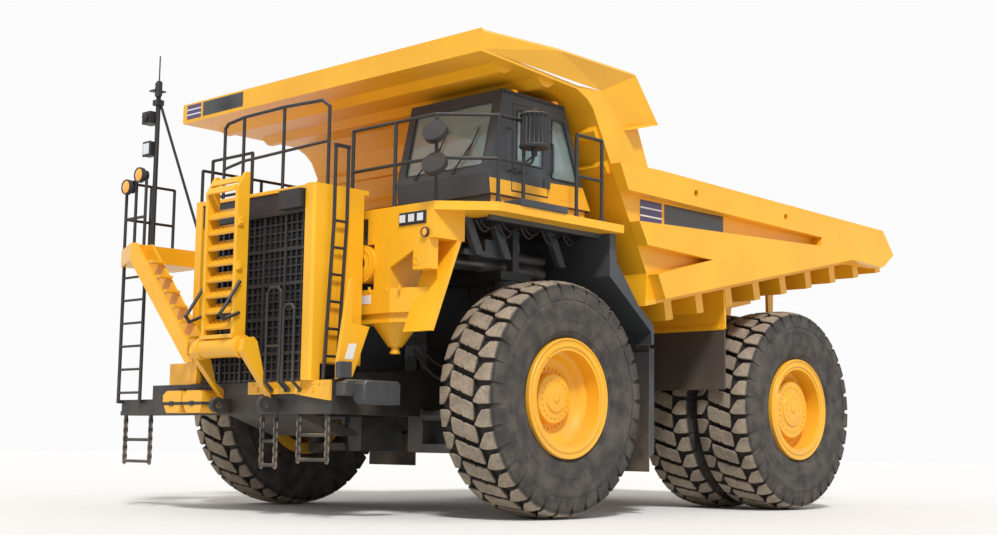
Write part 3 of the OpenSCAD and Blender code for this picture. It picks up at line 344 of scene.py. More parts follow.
for node, item in frame["nodes"].items():
    item.data.materials.clear()
    item.data.materials.append(finishes[nodeFinish.get(node, slots[node])])
print("finishes:", len(finishes))


# Meshes worked out as arrays

def perpendicular(along):
    # Two unit vectors across a direction
    other = np.array([0.0, 0.0, 1.0]) if abs(along[2]) < 0.9 else np.array([1.0, 0.0, 0.0])
    first = np.cross(along, other)
    first /= np.linalg.norm(first)
    return first, np.cross(along, first)


def around(count):
    # Equal angles round a circle, as a column
    return np.linspace(0, 2 * math.pi, count, endpoint=False)[:, None]


def circleAcross(along, count):
    # Unit vectors at equal angles across a direction
    first, second = perpendicular(along)
    angle = around(count)
    return first * np.cos(angle) + second * np.sin(angle)


def curve(corners, reach, steps=6):
    # Path with each corner rounded by a parabola that starts and ends at reach from the corner
    corners = np.array(corners, float)
    t = np.linspace(0, 1, steps)[:, None]
    path = [corners[:1]]
    for before, corner, after in zip(corners, corners[1:], corners[2:]):
        enter = corner + (before - corner) * min(0.48, reach / np.linalg.norm(before - corner))
        leave = corner + (after - corner) * min(0.48, reach / np.linalg.norm(after - corner))
        path.append((1 - t) ** 2 * enter + 2 * t * (1 - t) * corner + t ** 2 * leave)
    path.append(corners[-1:])
    return np.concatenate(path)


sharpAngle = math.radians(35)  # edges that turn by more are shaded sharp


class Shell:
    # Patches gathered into one piece. Points are metres from the front axle
    def __init__(self):
        self.points = []
        self.faces = []
        self.count = 0

    def grid(self, points, aroundU=False, aroundV=False, capU=False):
        # points[u, v] is a surface of two parameters; each cell is a quad, around joins the last row to the
        # first, and caps close both ends in u
        nu, nv = points.shape[:2]
        rows = np.arange(nu if aroundU else nu - 1)
        columns = np.arange(nv if aroundV else nv - 1)
        u, v = np.meshgrid(rows, columns, indexing="ij")
        u1, v1 = (u + 1) % nu, (v + 1) % nv
        quads = np.stack([u * nv + v, u1 * nv + v, u1 * nv + v1, u * nv + v1], axis=-1).reshape(-1, 4)
        faces = list(quads)
        if capU:
            faces += [np.arange(nv)[::-1], np.arange(nv) + (nu - 1) * nv]
        self.points.append(points.reshape(-1, 3))
        self.faces.extend((face + self.count).tolist() for face in faces)
        self.count += nu * nv

    def lathe(self, profile, centre, axis, steps=48, ring=False):
        # Outline of [radius, distance along the axis] swept round; a ring's outline closes on itself
        profile = np.array(profile, float)
        along = np.array(axis, float) / np.linalg.norm(axis)
        radial = circleAcross(along, steps)[:, None]
        points = np.array(centre, float) + profile[None, :, :1] * radial + profile[None, :, 1:] * along
        self.grid(points, aroundU=True, aroundV=ring)

    def tube(self, path, radius, sides=10):
        # Round tube: a ring at each station, turned from the last one by as little as it can be
        path = np.array(path, float)
        steps = np.gradient(path, axis=0)
        steps /= np.linalg.norm(steps, axis=1, keepdims=True)
        first = perpendicular(steps[0])[0]
        angle = around(sides)
        rings = []
        for place, step in zip(path, steps):
            first = first - step * np.dot(first, step)
            first /= np.linalg.norm(first)
            rings.append(place + radius * (first * np.cos(angle) + np.cross(step, first) * np.sin(angle)))
        self.grid(np.stack(rings), aroundV=True, capU=True)

    def slab(self, outline, axis, low, high, ease=0.004):
        # Plate with eased edges: an outline in two axes carried along the third. A corner moves in by
        # (n1 + n2) / (1 + n1.n2) times ease, where n1 and n2 are the normals of its two edges
        outline = np.array(outline, float)
        edge = np.roll(outline, -1, axis=0) - outline
        normal = np.stack([-edge[:, 1], edge[:, 0]], axis=1) / np.linalg.norm(edge, axis=1, keepdims=True)
        before = np.roll(normal, 1, axis=0)
        inward = (normal + before) / (1 + np.sum(normal * before, axis=1, keepdims=True))
        turned = np.sum(outline[:, 0] * edge[:, 1] - outline[:, 1] * edge[:, 0])
        inset = np.array([ease, 0, 0, ease])[:, None, None] * (1 if turned > 0 else -1)
        flat = outline[None] + inward[None] * inset
        level = np.array([low, low + ease, high - ease, high])[:, None, None] + 0 * flat[:, :, :1]
        order = {"x": [2, 0, 1], "y": [0, 2, 1], "z": [0, 1, 2]}[axis]
        self.grid(np.concatenate([flat, level], axis=2)[:, :, order], aroundV=True, capU=True)

    def bolts(self, places, way, radius, height, sides=6):
        # The same head at each place: straight flanks and a chamfered top, facing the given way
        way = np.array(way, float) / np.linalg.norm(way)
        ring = circleAcross(way, sides)
        top = ring * radius * 0.78 + way * height
        head = np.stack([ring * radius, ring * radius + way * height * 0.7, top])
        for place in np.array(places, float).reshape(-1, 3):
            self.grid(head + place, aroundV=True, capU=True)

    def boltCircle(self, centre, way, circle, count, radius, height):
        # Heads at equal angles on a circle about the centre: centre + circle * (cos, sin) across the way
        self.bolts(np.array(centre) + circle * circleAcross(np.array(way, float), count), way, radius, height)

    def piece(self, name, finish, body, slot="", replaces=()):
        # Puts the patches into one mesh, with doubles merged and normals turned outwards
        mesh = bpy.data.meshes.new(name)
        mesh.from_pydata((np.concatenate(self.points) + [frontAxleX, 0, 0]).tolist(), [], self.faces)
        work = bmesh.new()
        work.from_mesh(mesh)
        bmesh.ops.remove_doubles(work, verts=work.verts, dist=1e-5)
        bmesh.ops.recalc_face_normals(work, faces=work.faces)
        work.to_mesh(mesh)
        work.free()
        mesh.polygons.foreach_set("use_smooth", np.ones(len(mesh.polygons), bool))
        mesh.set_sharp_from_angle(angle=sharpAngle)
        mesh.materials.append(finishes[finish])
        made = newObject(name, mesh)
        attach(made, body)
        if replaces:
            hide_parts(*replaces)


def rectangle(across, up):
    # Four corners, from the low end of both extents round
    return [(across[0], up[0]), (across[1], up[0]), (across[1], up[1]), (across[0], up[1])]


def onSide(sign, inner, outer):
    # Extent in y on one side of the truck, low end first
    return sorted((sign * inner, sign * outer))


def dome(radius, bulge, count):
    # Outline of a disc whose face rises as bulge times (1 - (r / radius) squared)
    r = np.linspace(0, radius, count)[::-1]
    rise = bulge * (1 - (r / radius) ** 2) + 0.001
    return np.concatenate([[[0, -0.004], [radius, -0.004]], np.stack([r, rise], axis=1)])


# Tyres

tyre = {
    "pitches": 33,  # lugs round each shoulder
    "treadBase": 1.445,  # radius of the groove floor
    "crown": 1.53,
    "steps": 132,  # divisions round the carcass
    "ease": 0.008,
}
# Carcass outline from the bead to the tread, as [radius, offset from the middle]
carcassSide = [(0.652, 0.372), (0.7, 0.376), (0.772, 0.378), (0.8, 0.402), (0.84, 0.418), (0.86, 0.426),
               (0.862, 0.433), (0.9, 0.444), (1.0, 0.459), (1.005, 0.464), (1.02, 0.464), (1.025, 0.46),
               (1.1, 0.466), (1.18, 0.468), (1.2, 0.474), (1.225, 0.474), (1.245, 0.463), (1.3, 0.45),
               (1.36, 0.436), (1.4, 0.42), (1.43, 0.385), (1.445, 0.34)]
# Outer surface of the lugs: [run from the middle, radius, offset]
lugSurface = np.array([
    (0.0, 1.53, 0.0), (0.2, 1.526, 0.2), (0.32, 1.51, 0.319), (0.4, 1.49, 0.396),
    (0.425, 1.48, 0.419), (0.44, 1.469, 0.43), (0.458, 1.453, 0.437), (0.54, 1.372, 0.452),
    (0.64, 1.273, 0.466), (0.7, 1.213, 0.468)])
# Blocks by stations along the run: run, lower edge and upper edge round the tyre
shoulderLug = np.array([
    (0.203, -0.08, -0.052), (0.216, -0.098, -0.032), (0.268, -0.114, 0.046), (0.322, -0.117, 0.108),
    (0.4, -0.117, 0.117), (0.425, -0.117, 0.117), (0.44, -0.117, 0.117), (0.458, -0.117, 0.117),
    (0.5, -0.12, 0.12), (0.56, -0.125, 0.125), (0.64, -0.129, 0.129)])
middleBlock = np.array([
    (-0.194, -0.018, 0.146), (-0.18, -0.046, 0.172), (-0.036, -0.102, 0.126), (-0.024, -0.082, 0.122),
    (0.02, -0.122, 0.082), (0.032, -0.126, 0.102), (0.18, -0.172, 0.046), (0.194, -0.146, 0.018)])
# How deep a block reaches into the tyre, by the run from the middle
depthRun = [0.0, 0.4, 0.46, 0.56, 0.64]
blockDepth = [0.105, 0.09, 0.06, 0.04, 0.012]


def lugPoint(run, sink):
    # Place on the lugs' surface, moved into the tyre by sink along the normal (-dy/ds, dr/ds) of the outline
    table = lugSurface.T
    steep = np.gradient(table[1:], table[0], axis=1)
    steep /= np.hypot(steep[0], steep[1])
    radius, side, fall, spread = (np.interp(np.abs(run), table[0], row) for row in (*table[1:], *steep))
    return radius - sink * spread, np.sign(run) * (side + sink * fall)


def aroundAxle(axleX, radius, angle, y):
    # Points at radius * (cos, sin) of the angle from the axle, in x and z
    return np.stack([axleX + radius * np.cos(angle), y + 0 * angle, axleZ + radius * np.sin(angle)],
                    axis=-1)


def treadBlocks(shell, axleX, middleY, values):
    # Each block is a loft of rectangular sections with eased top edges, repeated round the axle
    pitch = 2 * math.pi / values["pitches"]
    ease = values["ease"]
    rim = np.array([0.0, 0.4, 1.6])[:, None] * ease
    for stations, shift in ((shoulderLug, 0.0), (middleBlock, 0.5), (-shoulderLug[:, [0, 2, 1]], 0.0)):
        run, low, high = stations.T
        depth = np.interp(np.abs(run), depthRun, blockDepth)[:, None]
        across = np.stack([*(low + rim), *(high - rim[::-1])], axis=1)
        sink = np.array([1, 0, 0, 0, 0, 1]) * depth + np.array([0, 1, 0, 0, 1, 0]) * ease
        radius, side = lugPoint(run[:, None] + 0 * across, sink)
        for k in range(values["pitches"]):
            angle = (k + shift) * pitch + across / values["crown"]
            shell.grid(aroundAxle(axleX, radius, angle, middleY + side), capU=True)


def carcass(shell, axleX, middleY, values):
    # Surface of revolution about the axle: the outline is swept round in equal steps
    side = np.array(carcassSide)
    crown = [[values["treadBase"], y] for y in (0.17, 0.0, -0.17)]
    inner = [[0.66, -0.3], [1.3, -0.36], [1.3, 0.36], [0.66, 0.3]]
    outline = np.concatenate([side, crown, side[::-1] * [1, -1], inner])
    angle = around(values["steps"])
    points = aroundAxle(axleX, outline[None, :, 0], angle, middleY + outline[None, :, 1])
    shell.grid(points, aroundU=True, aroundV=True)


def makeTyres():
    for side, sign in (("left", 1), ("right", -1)):
        front = Shell()
        carcass(front, 0.0, sign * frontTrack, tyre)
        treadBlocks(front, 0.0, sign * frontTrack, tyre)
        front.piece("tread_front_" + side, "frontTyre", "front_wheel_" + side, "tyre", ["tyre_front_" + side])
        rear = Shell()
        for middle in (rearOuter, rearInner):
            carcass(rear, rearAxleX, sign * middle, tyre)
            treadBlocks(rear, rearAxleX, sign * middle, tyre)
        rear.piece("tread_rear_" + side, "rearTyre", "rear_wheels_" + side, "tyre", ["tyres_rear_" + side])


makeTyres()
print("tyres made")


# Wheels

wheel = {
    "steps": 96,
    "rimRing": [
        (0.752, 0.415), (0.768, 0.425), (0.772, 0.437), (0.762, 0.447), (0.748, 0.445), (0.742, 0.431),
        (0.702, 0.428), (0.695, 0.44), (0.668, 0.444), (0.655, 0.436), (0.65, 0.41), (0.7, 0.4)],
    # Bolt circles: radius, distance out from the tyre's middle, count, head radius and head height
    "frontBolts": [(0.385, 0.08, 32, 0.017, 0.024), (0.245, 0.186, 20, 0.014, 0.018)],
    "rearBolts": [(0.515, 0.15, 40, 0.015, 0.022), (0.345, 0.305, 24, 0.015, 0.02),
                  (0.185, 0.329, 12, 0.013, 0.016)],
    "frontHub": 0.215,  # hub faces, out from the tyre's middle
    "rearHub": 0.328,
    "hubCap": [(0, 0), (0.056, 0), (0.056, 0.014), (0.044, 0.022), (0, 0.024)],
    "stemRadius": 0.66,
    "stemAngle": 0.9,
    "stemOut": (0.42, 0.465),
}


def makeWheels(values):
    angle = values["stemAngle"]
    for side, sign in (("left", 1), ("right", -1)):
        way = np.array([0, sign, 0])
        for name, x, middle, body in (("front", 0.0, frontTrack, "front_wheel_" + side),
                                      ("rear", rearAxleX, rearOuter, "rear_wheels_" + side)):
            shell = Shell()
            centre = np.array([x, sign * middle, axleZ])
            shell.lathe(values["rimRing"], centre, way, values["steps"], ring=True)
            for circle, out, count, radius, height in values[name + "Bolts"]:
                shell.boltCircle(centre + way * (out - 0.003), way, circle, count, radius, height)
            shell.lathe(np.array(values["hubCap"]) + [0, values[name + "Hub"]], centre, way, 24)
            # Valve with its stem, in the gutter of the rim
            stem = centre + values["stemRadius"] * np.array([math.cos(angle), 0, math.sin(angle)])
            shell.tube([stem + way * out for out in values["stemOut"]], 0.012, 8)
            shell.piece("rim_" + name + "_" + side, "yellow", body, "yellow")


makeWheels(wheel)
print("wheels made")


# Bed: stripes and blank panels where the signs were

panels = {
    "sideY": 2.96,
    "sideZ": (4.005, 4.33),
    "stripeX": (-2.075, -1.585),
    "blankX": (-3.578, -2.14),
    "lines": ((4.098, 4.12), (4.212, 4.234)),
    "frontX": 1.8,
    "frontZ": (5.742, 5.954),
    "frontStripeY": (-3.03, -2.68),
    "frontBlankY": (-2.625, -1.645),
    "frontLines": (0.3, 0.66),  # heights of the white lines, as shares of the stripe's
    "frontLineHalf": 0.01,
    "sunk": 0.002,
    "thick": 0.005,
    "lineThick": 0.008,
    "ease": 0.001,
}


def makePanels(values):
    violet, white, blank = Shell(), Shell(), Shell()
    thick, lineThick = values["thick"], values["lineThick"]
    stripe, low, high = values["frontStripeY"], *values["frontZ"]
    # Plates: shell, extent across, extent up, thickness
    side = [(violet, values["stripeX"], values["sideZ"], thick)]
    side += [(blank, values["blankX"], values["sideZ"], thick)]
    side += [(white, values["stripeX"], line, lineThick) for line in values["lines"]]
    face = [(violet, stripe, (low, high), thick), (blank, values["frontBlankY"], (low, high), thick)]
    for share in values["frontLines"]:
        z, half = low + share * (high - low), values["frontLineHalf"]
        face.append((white, stripe, (z - half, z + half), lineThick))
    x, y, sunk, ease = values["frontX"], values["sideY"], values["sunk"], values["ease"]
    for sign in (1, -1):
        for shell, across, up, out in side:
            shell.slab(rectangle(across, up), "y", *onSide(sign, y - sunk, y + out), ease)
    for shell, across, up, out in face:
        shell.slab(rectangle(across, up), "x", x - sunk, x + out, ease)
    violet.piece("stripe_violet", "violet", "bed")
    white.piece("stripe_white", "white", "bed")
    blank.piece("blank_panels", "blank", "bed")


makePanels(panels)
print("panels made")


# Cab: window seals, wipers, door furniture, roof lamps, the yellow band and what shows through the glass

cab = {
    "side": 2.6,
    "nearPane": [(-0.69, 4.45), (-0.13, 4.45), (-0.13, 5.25), (-0.37, 5.25)],
    "doorPane": rectangle((0.03, 0.55), (4.56, 5.26)),
    "screen": [(1.04, 1.02, 4.48), (1.04, 2.46, 4.48), (0.842, 2.46, 5.34), (0.842, 1.02, 5.34)],
    "seal": 0.013,
    # Wipers: pivot, tip of the arm, length of the blade
    "wipers": [((1.062, 1.25, 4.44), (0.975, 1.62, 4.82), 0.62),
               ((1.062, 1.95, 4.44), (0.975, 2.22, 4.82), 0.5)],
    "wiperHub": [(0, -0.02), (0.03, -0.02), (0.03, 0.012), (0.02, 0.02), (0, 0.02)],
    # Grab bars beside the door, with y out from the wall: path, rounding, radius
    "bars": [([(0.7, 0, 4.42), (0.7, 0.07, 4.44), (0.7, 0.07, 4.98), (0.7, 0, 5.0)], 0.04, 0.014),
             ([(-0.1, 0, 4.5), (-0.1, 0.06, 4.52), (-0.1, 0.06, 4.9), (-0.1, 0, 4.92)], 0.04, 0.012)],
    "doorBar": ([(0.5, 0, 4.44), (0.5, 0.045, 4.44), (0.4, 0.045, 4.44), (0.4, 0, 4.44)], 0.02, 0.01),
    "gutter": [(-0.36, 0.004, 5.44), (0.8, 0.004, 5.462)],
    "lock": rectangle((0.545, 0.605), (4.4, 4.49)),
    "band": 0.006,
    "bands": [[(0.65, 4.11), (1.034, 4.11), (1.055, 4.303), (0.65, 4.303)],
              [(-0.94, 4.11), (-0.066, 4.11), (-0.066, 4.385), (-0.775, 4.412)],
              rectangle((-0.066, 0.65), (4.11, 4.172))],
    "bandDoor": [(-0.052, 4.194), (0.626, 4.194), (0.626, 4.303), (0.01, 4.297), (-0.052, 4.376)],
    "bandFoot": rectangle((-0.875, 0.975), (3.985, 4.098)),
    "louvreX": (-0.33, -0.045),  # first and step
    "louvreZ": (4.19, 4.3),
    "roofLamps": [(0.575, 2.56, 5.488), (-0.225, 2.56, 5.476)],
    "roofLamp": [(0, 0), (0.055, 0), (0.055, 0.014), (0.045, 0.034), (0.022, 0.046), (0, 0.048)],
    "wheelCentre": (0.6, 1.73, 4.62),
    "wheelAxis": (-0.35, 0.0, 0.94),
    "wheelRadius": 0.21,
    "wheelThick": 0.014,
    "spokes": (0.5, 2.6, 4.7),
    "dash": [(0.66, 4.17), (0.97, 4.17), (0.99, 4.4), (0.9, 4.52), (0.74, 4.5), (0.66, 4.36)],
    "headRest": [(-0.34, 5.09), (-0.23, 5.09), (-0.22, 5.2), (-0.25, 5.25), (-0.32, 5.25), (-0.35, 5.2)],
}


def closedLoop(corners, reach):
    # Path round four corners, started in the middle of the first side
    start = tuple((a + b) / 2 for a, b in zip(corners[0], corners[1]))
    return curve([start] + corners[1:] + corners[:1] + [start], reach)


def wallLoop(outline, y):
    # The same round an outline of [x, z] on a wall across y
    return closedLoop([(x, y, z) for x, z in outline], 0.05)


def grabBar(shell, bar, y):
    # Round bar along a path that stands out from the wall at y
    path, reach, radius = bar
    shell.tube(curve(np.array(path) + [0, y, 0], reach), radius)


def makeCab(values):
    y, out = values["side"], values["side"] + values["band"]
    seals = Shell()
    seals.tube(wallLoop(values["nearPane"], y), values["seal"], 8)
    seals.tube(closedLoop(values["screen"], 0.06), values["seal"], 8)
    for pivot, tip, blade in values["wipers"]:
        seals.tube([pivot, (1.068, pivot[1] + 0.03, 4.47), tip], 0.01, 8)
        reach = np.array([-0.18, 0.3, 0.8]) * blade / 2
        seals.tube([np.array(tip) - reach, np.array(tip) + reach], 0.009, 6)
        seals.lathe(values["wiperHub"], pivot, (1, 0, 0.2), 16)
    for bar in values["bars"]:
        grabBar(seals, bar, y)
    seals.tube(np.array(values["gutter"]) + [0, y, 0], 0.016, 8)
    seals.piece("cab_seals", "trim", "chassis", "trim")
    doorTrim = Shell()
    doorTrim.tube(wallLoop(values["doorPane"], y), values["seal"], 8)
    grabBar(doorTrim, values["doorBar"], y)
    doorTrim.slab(values["lock"], "y", y - 0.002, y + 0.012)
    doorTrim.piece("door_trim", "trim", "door", "trim")
    band = Shell()
    for outline in values["bands"]:
        band.slab(outline, "y", y - 0.002, out, 0.002)
    band.slab(values["bandFoot"], "y", y - 0.052, y - 0.044, 0.002)
    for k in range(5):
        x = values["louvreX"][0] + k * values["louvreX"][1]
        band.slab(rectangle((x, x + 0.02), values["louvreZ"]), "y", y, y + 0.016, 0.004)
    band.piece("cab_band", "yellow", "chassis", "yellow")
    doorBand = Shell()
    doorBand.slab(values["bandDoor"], "y", y - 0.002, out, 0.002)
    doorBand.piece("door_band", "yellow", "door", "yellow")
    lamps = Shell()
    for place in values["roofLamps"]:
        lamps.lathe(values["roofLamp"], place, (0, 0, 1), 24)
    lamps.piece("cab_roof_lamps", "amber", "chassis")
    # Steering wheel with three spokes, dash, and the seat's head rest
    inside = Shell()
    axis, centre = np.array(values["wheelAxis"]), np.array(values["wheelCentre"])
    radius, thick = values["wheelRadius"], values["wheelThick"]
    turn = around(20)
    ring = np.concatenate([radius + thick * np.cos(turn), thick * np.sin(turn)], axis=1)
    inside.lathe(ring, centre, axis, 40, ring=True)
    first, second = perpendicular(axis / np.linalg.norm(axis))
    for angle in values["spokes"]:
        end = centre + radius * (first * math.cos(angle) + second * math.sin(angle))
        inside.tube([centre - axis * 0.02, end], 0.011, 8)
    inside.slab(values["dash"], "y", 0.98, 2.4, 0.03)
    inside.slab(values["headRest"], "y", 1.6, 1.86, 0.02)
    inside.piece("cab_inside", "trim", "chassis", "trim")


makeCab(cab)
print("cab made")


# Lamps: black bezels, clear and amber lenses

lampSets = {
    "face": 1.93,
    "rows": (1.88, 2.04, 2.2),  # inner y of each lens
    "cell": 0.13,
    "z": (3.655, 3.78),
    "frameY": (1.862, 2.348),
    "frameZ": (3.636, 3.798),
    "round": (1.935, 2.35, 3.52, 0.055),  # place and radius
    "rail": [(2.844, -2.96, 4.56, 0.1), (2.844, -2.64, 4.7, 0.1)],
    "workLens": rectangle((-3.095, -2.945), (5.105, 5.265)),
    "workFrame": rectangle((-3.118, -2.918), (5.072, 5.298)),
    "eyePlace": (2.518, -3.03, 5.65),
    "eye": [(0, 0), (0.055, 0), (0.06, 0.03), (0.045, 0.04), (0, 0.036)],
}


def roundLamp(clear, frames, place, radius, share, bulge, depth):
    # Domed lens that fills a share of the radius, in a bezel that reaches back by depth
    clear.lathe(dome(radius * share, bulge, 9), place, (1, 0, 0), 32)
    bezel = [(radius * 0.93, -depth), (radius * 1.1, -depth), (radius * 1.12, 0.0), (radius * 1.04, 0.014),
             (radius * 0.94, 0.008)]
    frames.lathe(bezel, place, (1, 0, 0), 40, ring=True)


def makeLamps(values):
    frames, clear, amber = Shell(), Shell(), Shell()
    x, cell = values["face"], values["cell"]
    up = (values["z"][0] + 0.014, values["z"][1] - 0.014)
    for sign in (1, -1):
        frames.slab(rectangle(onSide(sign, *values["frameY"]), values["frameZ"]), "x", x - 0.032, x - 0.016)
        for y in values["rows"]:
            clear.slab(rectangle(onSide(sign, y + 0.012, y + cell - 0.012), up), "x", x - 0.002, x + 0.008)
    *place, radius = values["round"]
    roundLamp(amber, frames, place, radius, 0.92, 0.016, 0.03)
    for px, py, pz, radius in values["rail"]:
        roundLamp(amber, frames, (px, py, pz), radius, 0.94, 0.03, 0.055)
        # Fins on the lamp's back
        fin = [(0.02, 0), (radius * 0.8, 0), (radius * 0.8, 0.005), (0.02, 0.005)]
        for k in range(5):
            frames.lathe(fin, (px - 0.066 - k * 0.014, py, pz), (-1, 0, 0), 24, ring=True)
        frames.lathe([(0, 0), (0.028, 0), (0.028, 0.075), (0, 0.075)], (px - 0.06, py, pz), (-1, 0, 0), 16)
    # Work lamp on the mast, and the camera's eye
    clear.slab(values["workLens"], "x", 2.498, 2.506)
    frames.slab(values["workFrame"], "x", 2.478, 2.497, 0.006)
    frames.lathe(values["eye"], values["eyePlace"], (1, 0, -0.2), 24)
    frames.piece("lamp_bezels", "trim", "chassis", "trim")
    clear.piece("lamp_lenses", "lens", "chassis")
    amber.piece("amber_lenses", "amber", "chassis")


makeLamps(lampSets)
print("lamps made")


# Mirrors: domed glasses on the discs, and the ribbed drum that hangs outside the deck's rail

mirrors = {
    "places": [(2.0, 2.6, 4.3), (2.0, 2.6, 4.7)],
    "way": (-0.814, -0.296, -0.5),
    "radius": 0.15,
    "bulge": 0.022,
    "drum": (0.76, 3.1, 4.65),
    "drumRadius": 0.185,
    "ribs": 18,
    # Rings of the drum from the foot up: height, share of the radius, ribs' share of it
    "rings": [(0, 1.02, 0), (0.02, 1.06, 0), (0.03, 1.06, 0), (0.05, 0.94, 0.055), (0.4, 0.94, 0.055),
              (0.42, 1.06, 0), (0.43, 1.06, 0), (0.45, 0.9, 0)],
    "cap": [(0, 0.44), (0.05, 0.44), (0.05, 0.49), (0.02, 0.52), (0, 0.52)],
    "foot": [(0, -0.1), (0.04, -0.1), (0.04, 0.01), (0, 0.01)],
}


def makeMirrors(values):
    glass, drum = Shell(), Shell()
    for place in values["places"]:
        glass.lathe(dome(values["radius"], values["bulge"], 10), place, values["way"], 40)
    glass.piece("mirror_glass", "mirror", "chassis")
    # Each ring's radius swells and sinks with the angle: R (share + ribs' share * cos(ribs * angle))
    angle = around(values["ribs"] * 10).T
    height, share, swell = np.array(values["rings"], float).T[:, :, None]
    radius = values["drumRadius"] * (share + swell * np.cos(values["ribs"] * angle))
    x, y, z = values["drum"]
    points = [x + radius * np.cos(angle), y + radius * np.sin(angle), z + height + 0 * radius]
    drum.grid(np.stack(points, axis=-1), aroundV=True, capU=True)
    drum.lathe(values["cap"], (x, y, z), (0, 0, 1), 20)
    drum.lathe(values["foot"], (x, y, z), (0, 0, 1), 20)
    # Its two brackets to the deck's rail
    drum.tube(curve([(x, y, z - 0.06), (x, y - 0.04, z - 0.2), (0.85, 3.02, z - 0.2)], 0.08), 0.018)
    drum.tube([(x, y, z - 0.09), (0.85, 3.01, 4.46)], 0.014)
    drum.piece("ribbed_drum", "black", "chassis", "black")


makeMirrors(mirrors)
print("mirrors made")


# Front: grip on the treads, straps, brace, chain links, grille wires, boxes and bolts

front = {
    "ladderX": 3.08,
    "ladderY": -0.15,
    "trayFirst": 2.42,
    "trayPitch": 0.205,
    "trayCount": 8,
    "trayTip": math.radians(40),
    "latchZ": (3.15, 3.72),
    "latch": [(-0.05, -0.06), (0.03, -0.06), (0.03, 0.03), (-0.02, 0.06), (-0.05, 0.05)],
    "stairFoot": (-0.748, 2.09),  # y and z, and their change with each tread
    "stairStep": (-0.19, 0.215),
    "boxes": [(-1.65, 0.42), (-1.19, 0.44)],  # inner y and width
    "strapGrow": 0.006,
    "brace": [(2.628, 1.7), (2.628, 1.918), (2.463, 2.95), (2.405, 2.955), (2.405, 2.4), (2.124, 2.367),
              (2.382, 1.734)],
    "strip": [(2.525, 1.945), (2.455, 2.14), (2.335, 2.147), (2.392, 1.95)],
    "footBox": [(2.48, 1.712), (2.68, 1.712), (2.68, 1.9), (2.64, 1.915), (2.48, 1.915)],
    "plate": rectangle((1.165, 1.35), (2.69, 2.8)),
    "faceX": 2.7205,
    "drumCentre": (1.95, 1.2, 3.205),
    "drumFace": [(0.1, -0.004), (0.205, -0.004), (0.205, 0.006), (0.19, 0.012), (0.175, 0.006),
                 (0.115, 0.006), (0.1, 0.014)],
    "spout": (1.6, 1.5, 2.062),
    "spoutRing": [(0.05, 0), (0.068, 0.004), (0.068, 0.032), (0.05, 0.036)],
    "case": (1.9, 2.18, 3.18),
    "caseFace": [(0.03, -0.004), (0.062, -0.004), (0.062, 0.006), (0.045, 0.012), (0.03, 0.008)],
    "lip": [(1.36, 3.5), (1.5, 3.5), (1.64, 3.5), (1.36, 3.755), (1.64, 3.755)],
    "catch": rectangle((1.885, 1.912), (2.835, 2.905)),
    "steps": [(0.86, 1.49, 0.69), (0.12, 0.48, 0.61), (-3.05, -2.34, 0.61)],  # low y, high y, foot z
    "stepsX": 2.64,
    "stepsTop": 1.279,
    "link": 0.062,
    "linkHalf": (0.031, 0.044),
    "wire": 0.0095,
    "gridHalf": 1.1,
    "gridPitch": 0.11,
    "gridWire": 0.0045,
    "sideBox": [(1.88, 1.4), (2.42, 1.4), (2.48, 1.45), (2.48, 1.64), (2.44, 1.69), (1.92, 1.69),
                (1.88, 1.65)],
    "rearBox": [(2.3, 1.5), (2.64, 1.5), (2.64, 1.66), (2.56, 1.7), (2.3, 1.7)],
}


def link(shell, centre, ahead, values):
    # Round wire along a stadium: across = w cos t, up = w sin t + (h - w) clip(2 sin t, -1, 1), where w and h
    # are half its width and height. It lies in the y-z plane if it faces ahead, and in the x-z plane if not
    width, height = values["linkHalf"]
    t = around(14)
    s = around(6).T
    out = width + values["wire"] * np.cos(s)
    across = out * np.cos(t)
    up = out * np.sin(t) + (height - width) * np.clip(2 * np.sin(t), -1, 1)
    thick = values["wire"] * np.sin(s) + 0 * t
    order = [thick, across, up] if ahead else [across, thick, up]
    shell.grid(np.stack(order, axis=-1) + np.array(centre), aroundU=True, aroundV=True)


def ladderGrip(values):
    # Rows of studs on the ladder's tilted trays, and latches on its near stringer
    grip = Shell()
    tip = values["trayTip"]
    along = np.array([math.cos(tip), 0, -math.sin(tip)])
    up = np.array([math.sin(tip), 0, math.cos(tip)])
    for k in range(values["trayCount"]):
        z = values["trayFirst"] + k * values["trayPitch"]
        middle = np.array([values["ladderX"], values["ladderY"], z])
        for j, y in enumerate(np.linspace(-0.25, 0.25, 11)):
            for shift in (-0.062, 0.0, 0.062) if j % 2 else (-0.031, 0.031):
                grip.bolts(middle + along * shift + up * 0.014 + [0, y, 0], up, 0.013, 0.009, 8)
    x, y = values["ladderX"] + 0.055, values["ladderY"] + 0.35
    for z in values["latchZ"]:
        grip.slab([(x + a, z + b) for a, b in values["latch"]], "y", y, y + 0.03, 0.005)
        grip.bolts([[x - 0.01, y + 0.03, z - 0.02]], (0, 1, 0), 0.018, 0.022)
    grip.piece("ladder_grip", "yellow", "ladder", "yellow")


def boxStraps(values):
    # A strap round each box on the bumper, its buckle, and a carrying bar on the lid
    strap = Shell()
    grow = values["strapGrow"]
    for low, width in values["boxes"]:
        high, middle = low + width, low + width / 2
        strap.slab(rectangle((2.7, 2.94 + grow), (low - grow, high + grow)), "z", 1.405, 1.445, 0.002)
        strap.slab(rectangle((2.925, 2.958), (middle - 0.04, middle + 0.04)), "z", 1.395, 1.455)
        near, far = low + 0.12, high - 0.12
        bar = [(2.78, near, 1.593), (2.78, near, 1.63), (2.78, far, 1.63), (2.78, far, 1.593)]
        strap.tube(curve(bar, 0.03), 0.014)
    strap.piece("box_straps", "trim", "chassis", "trim")


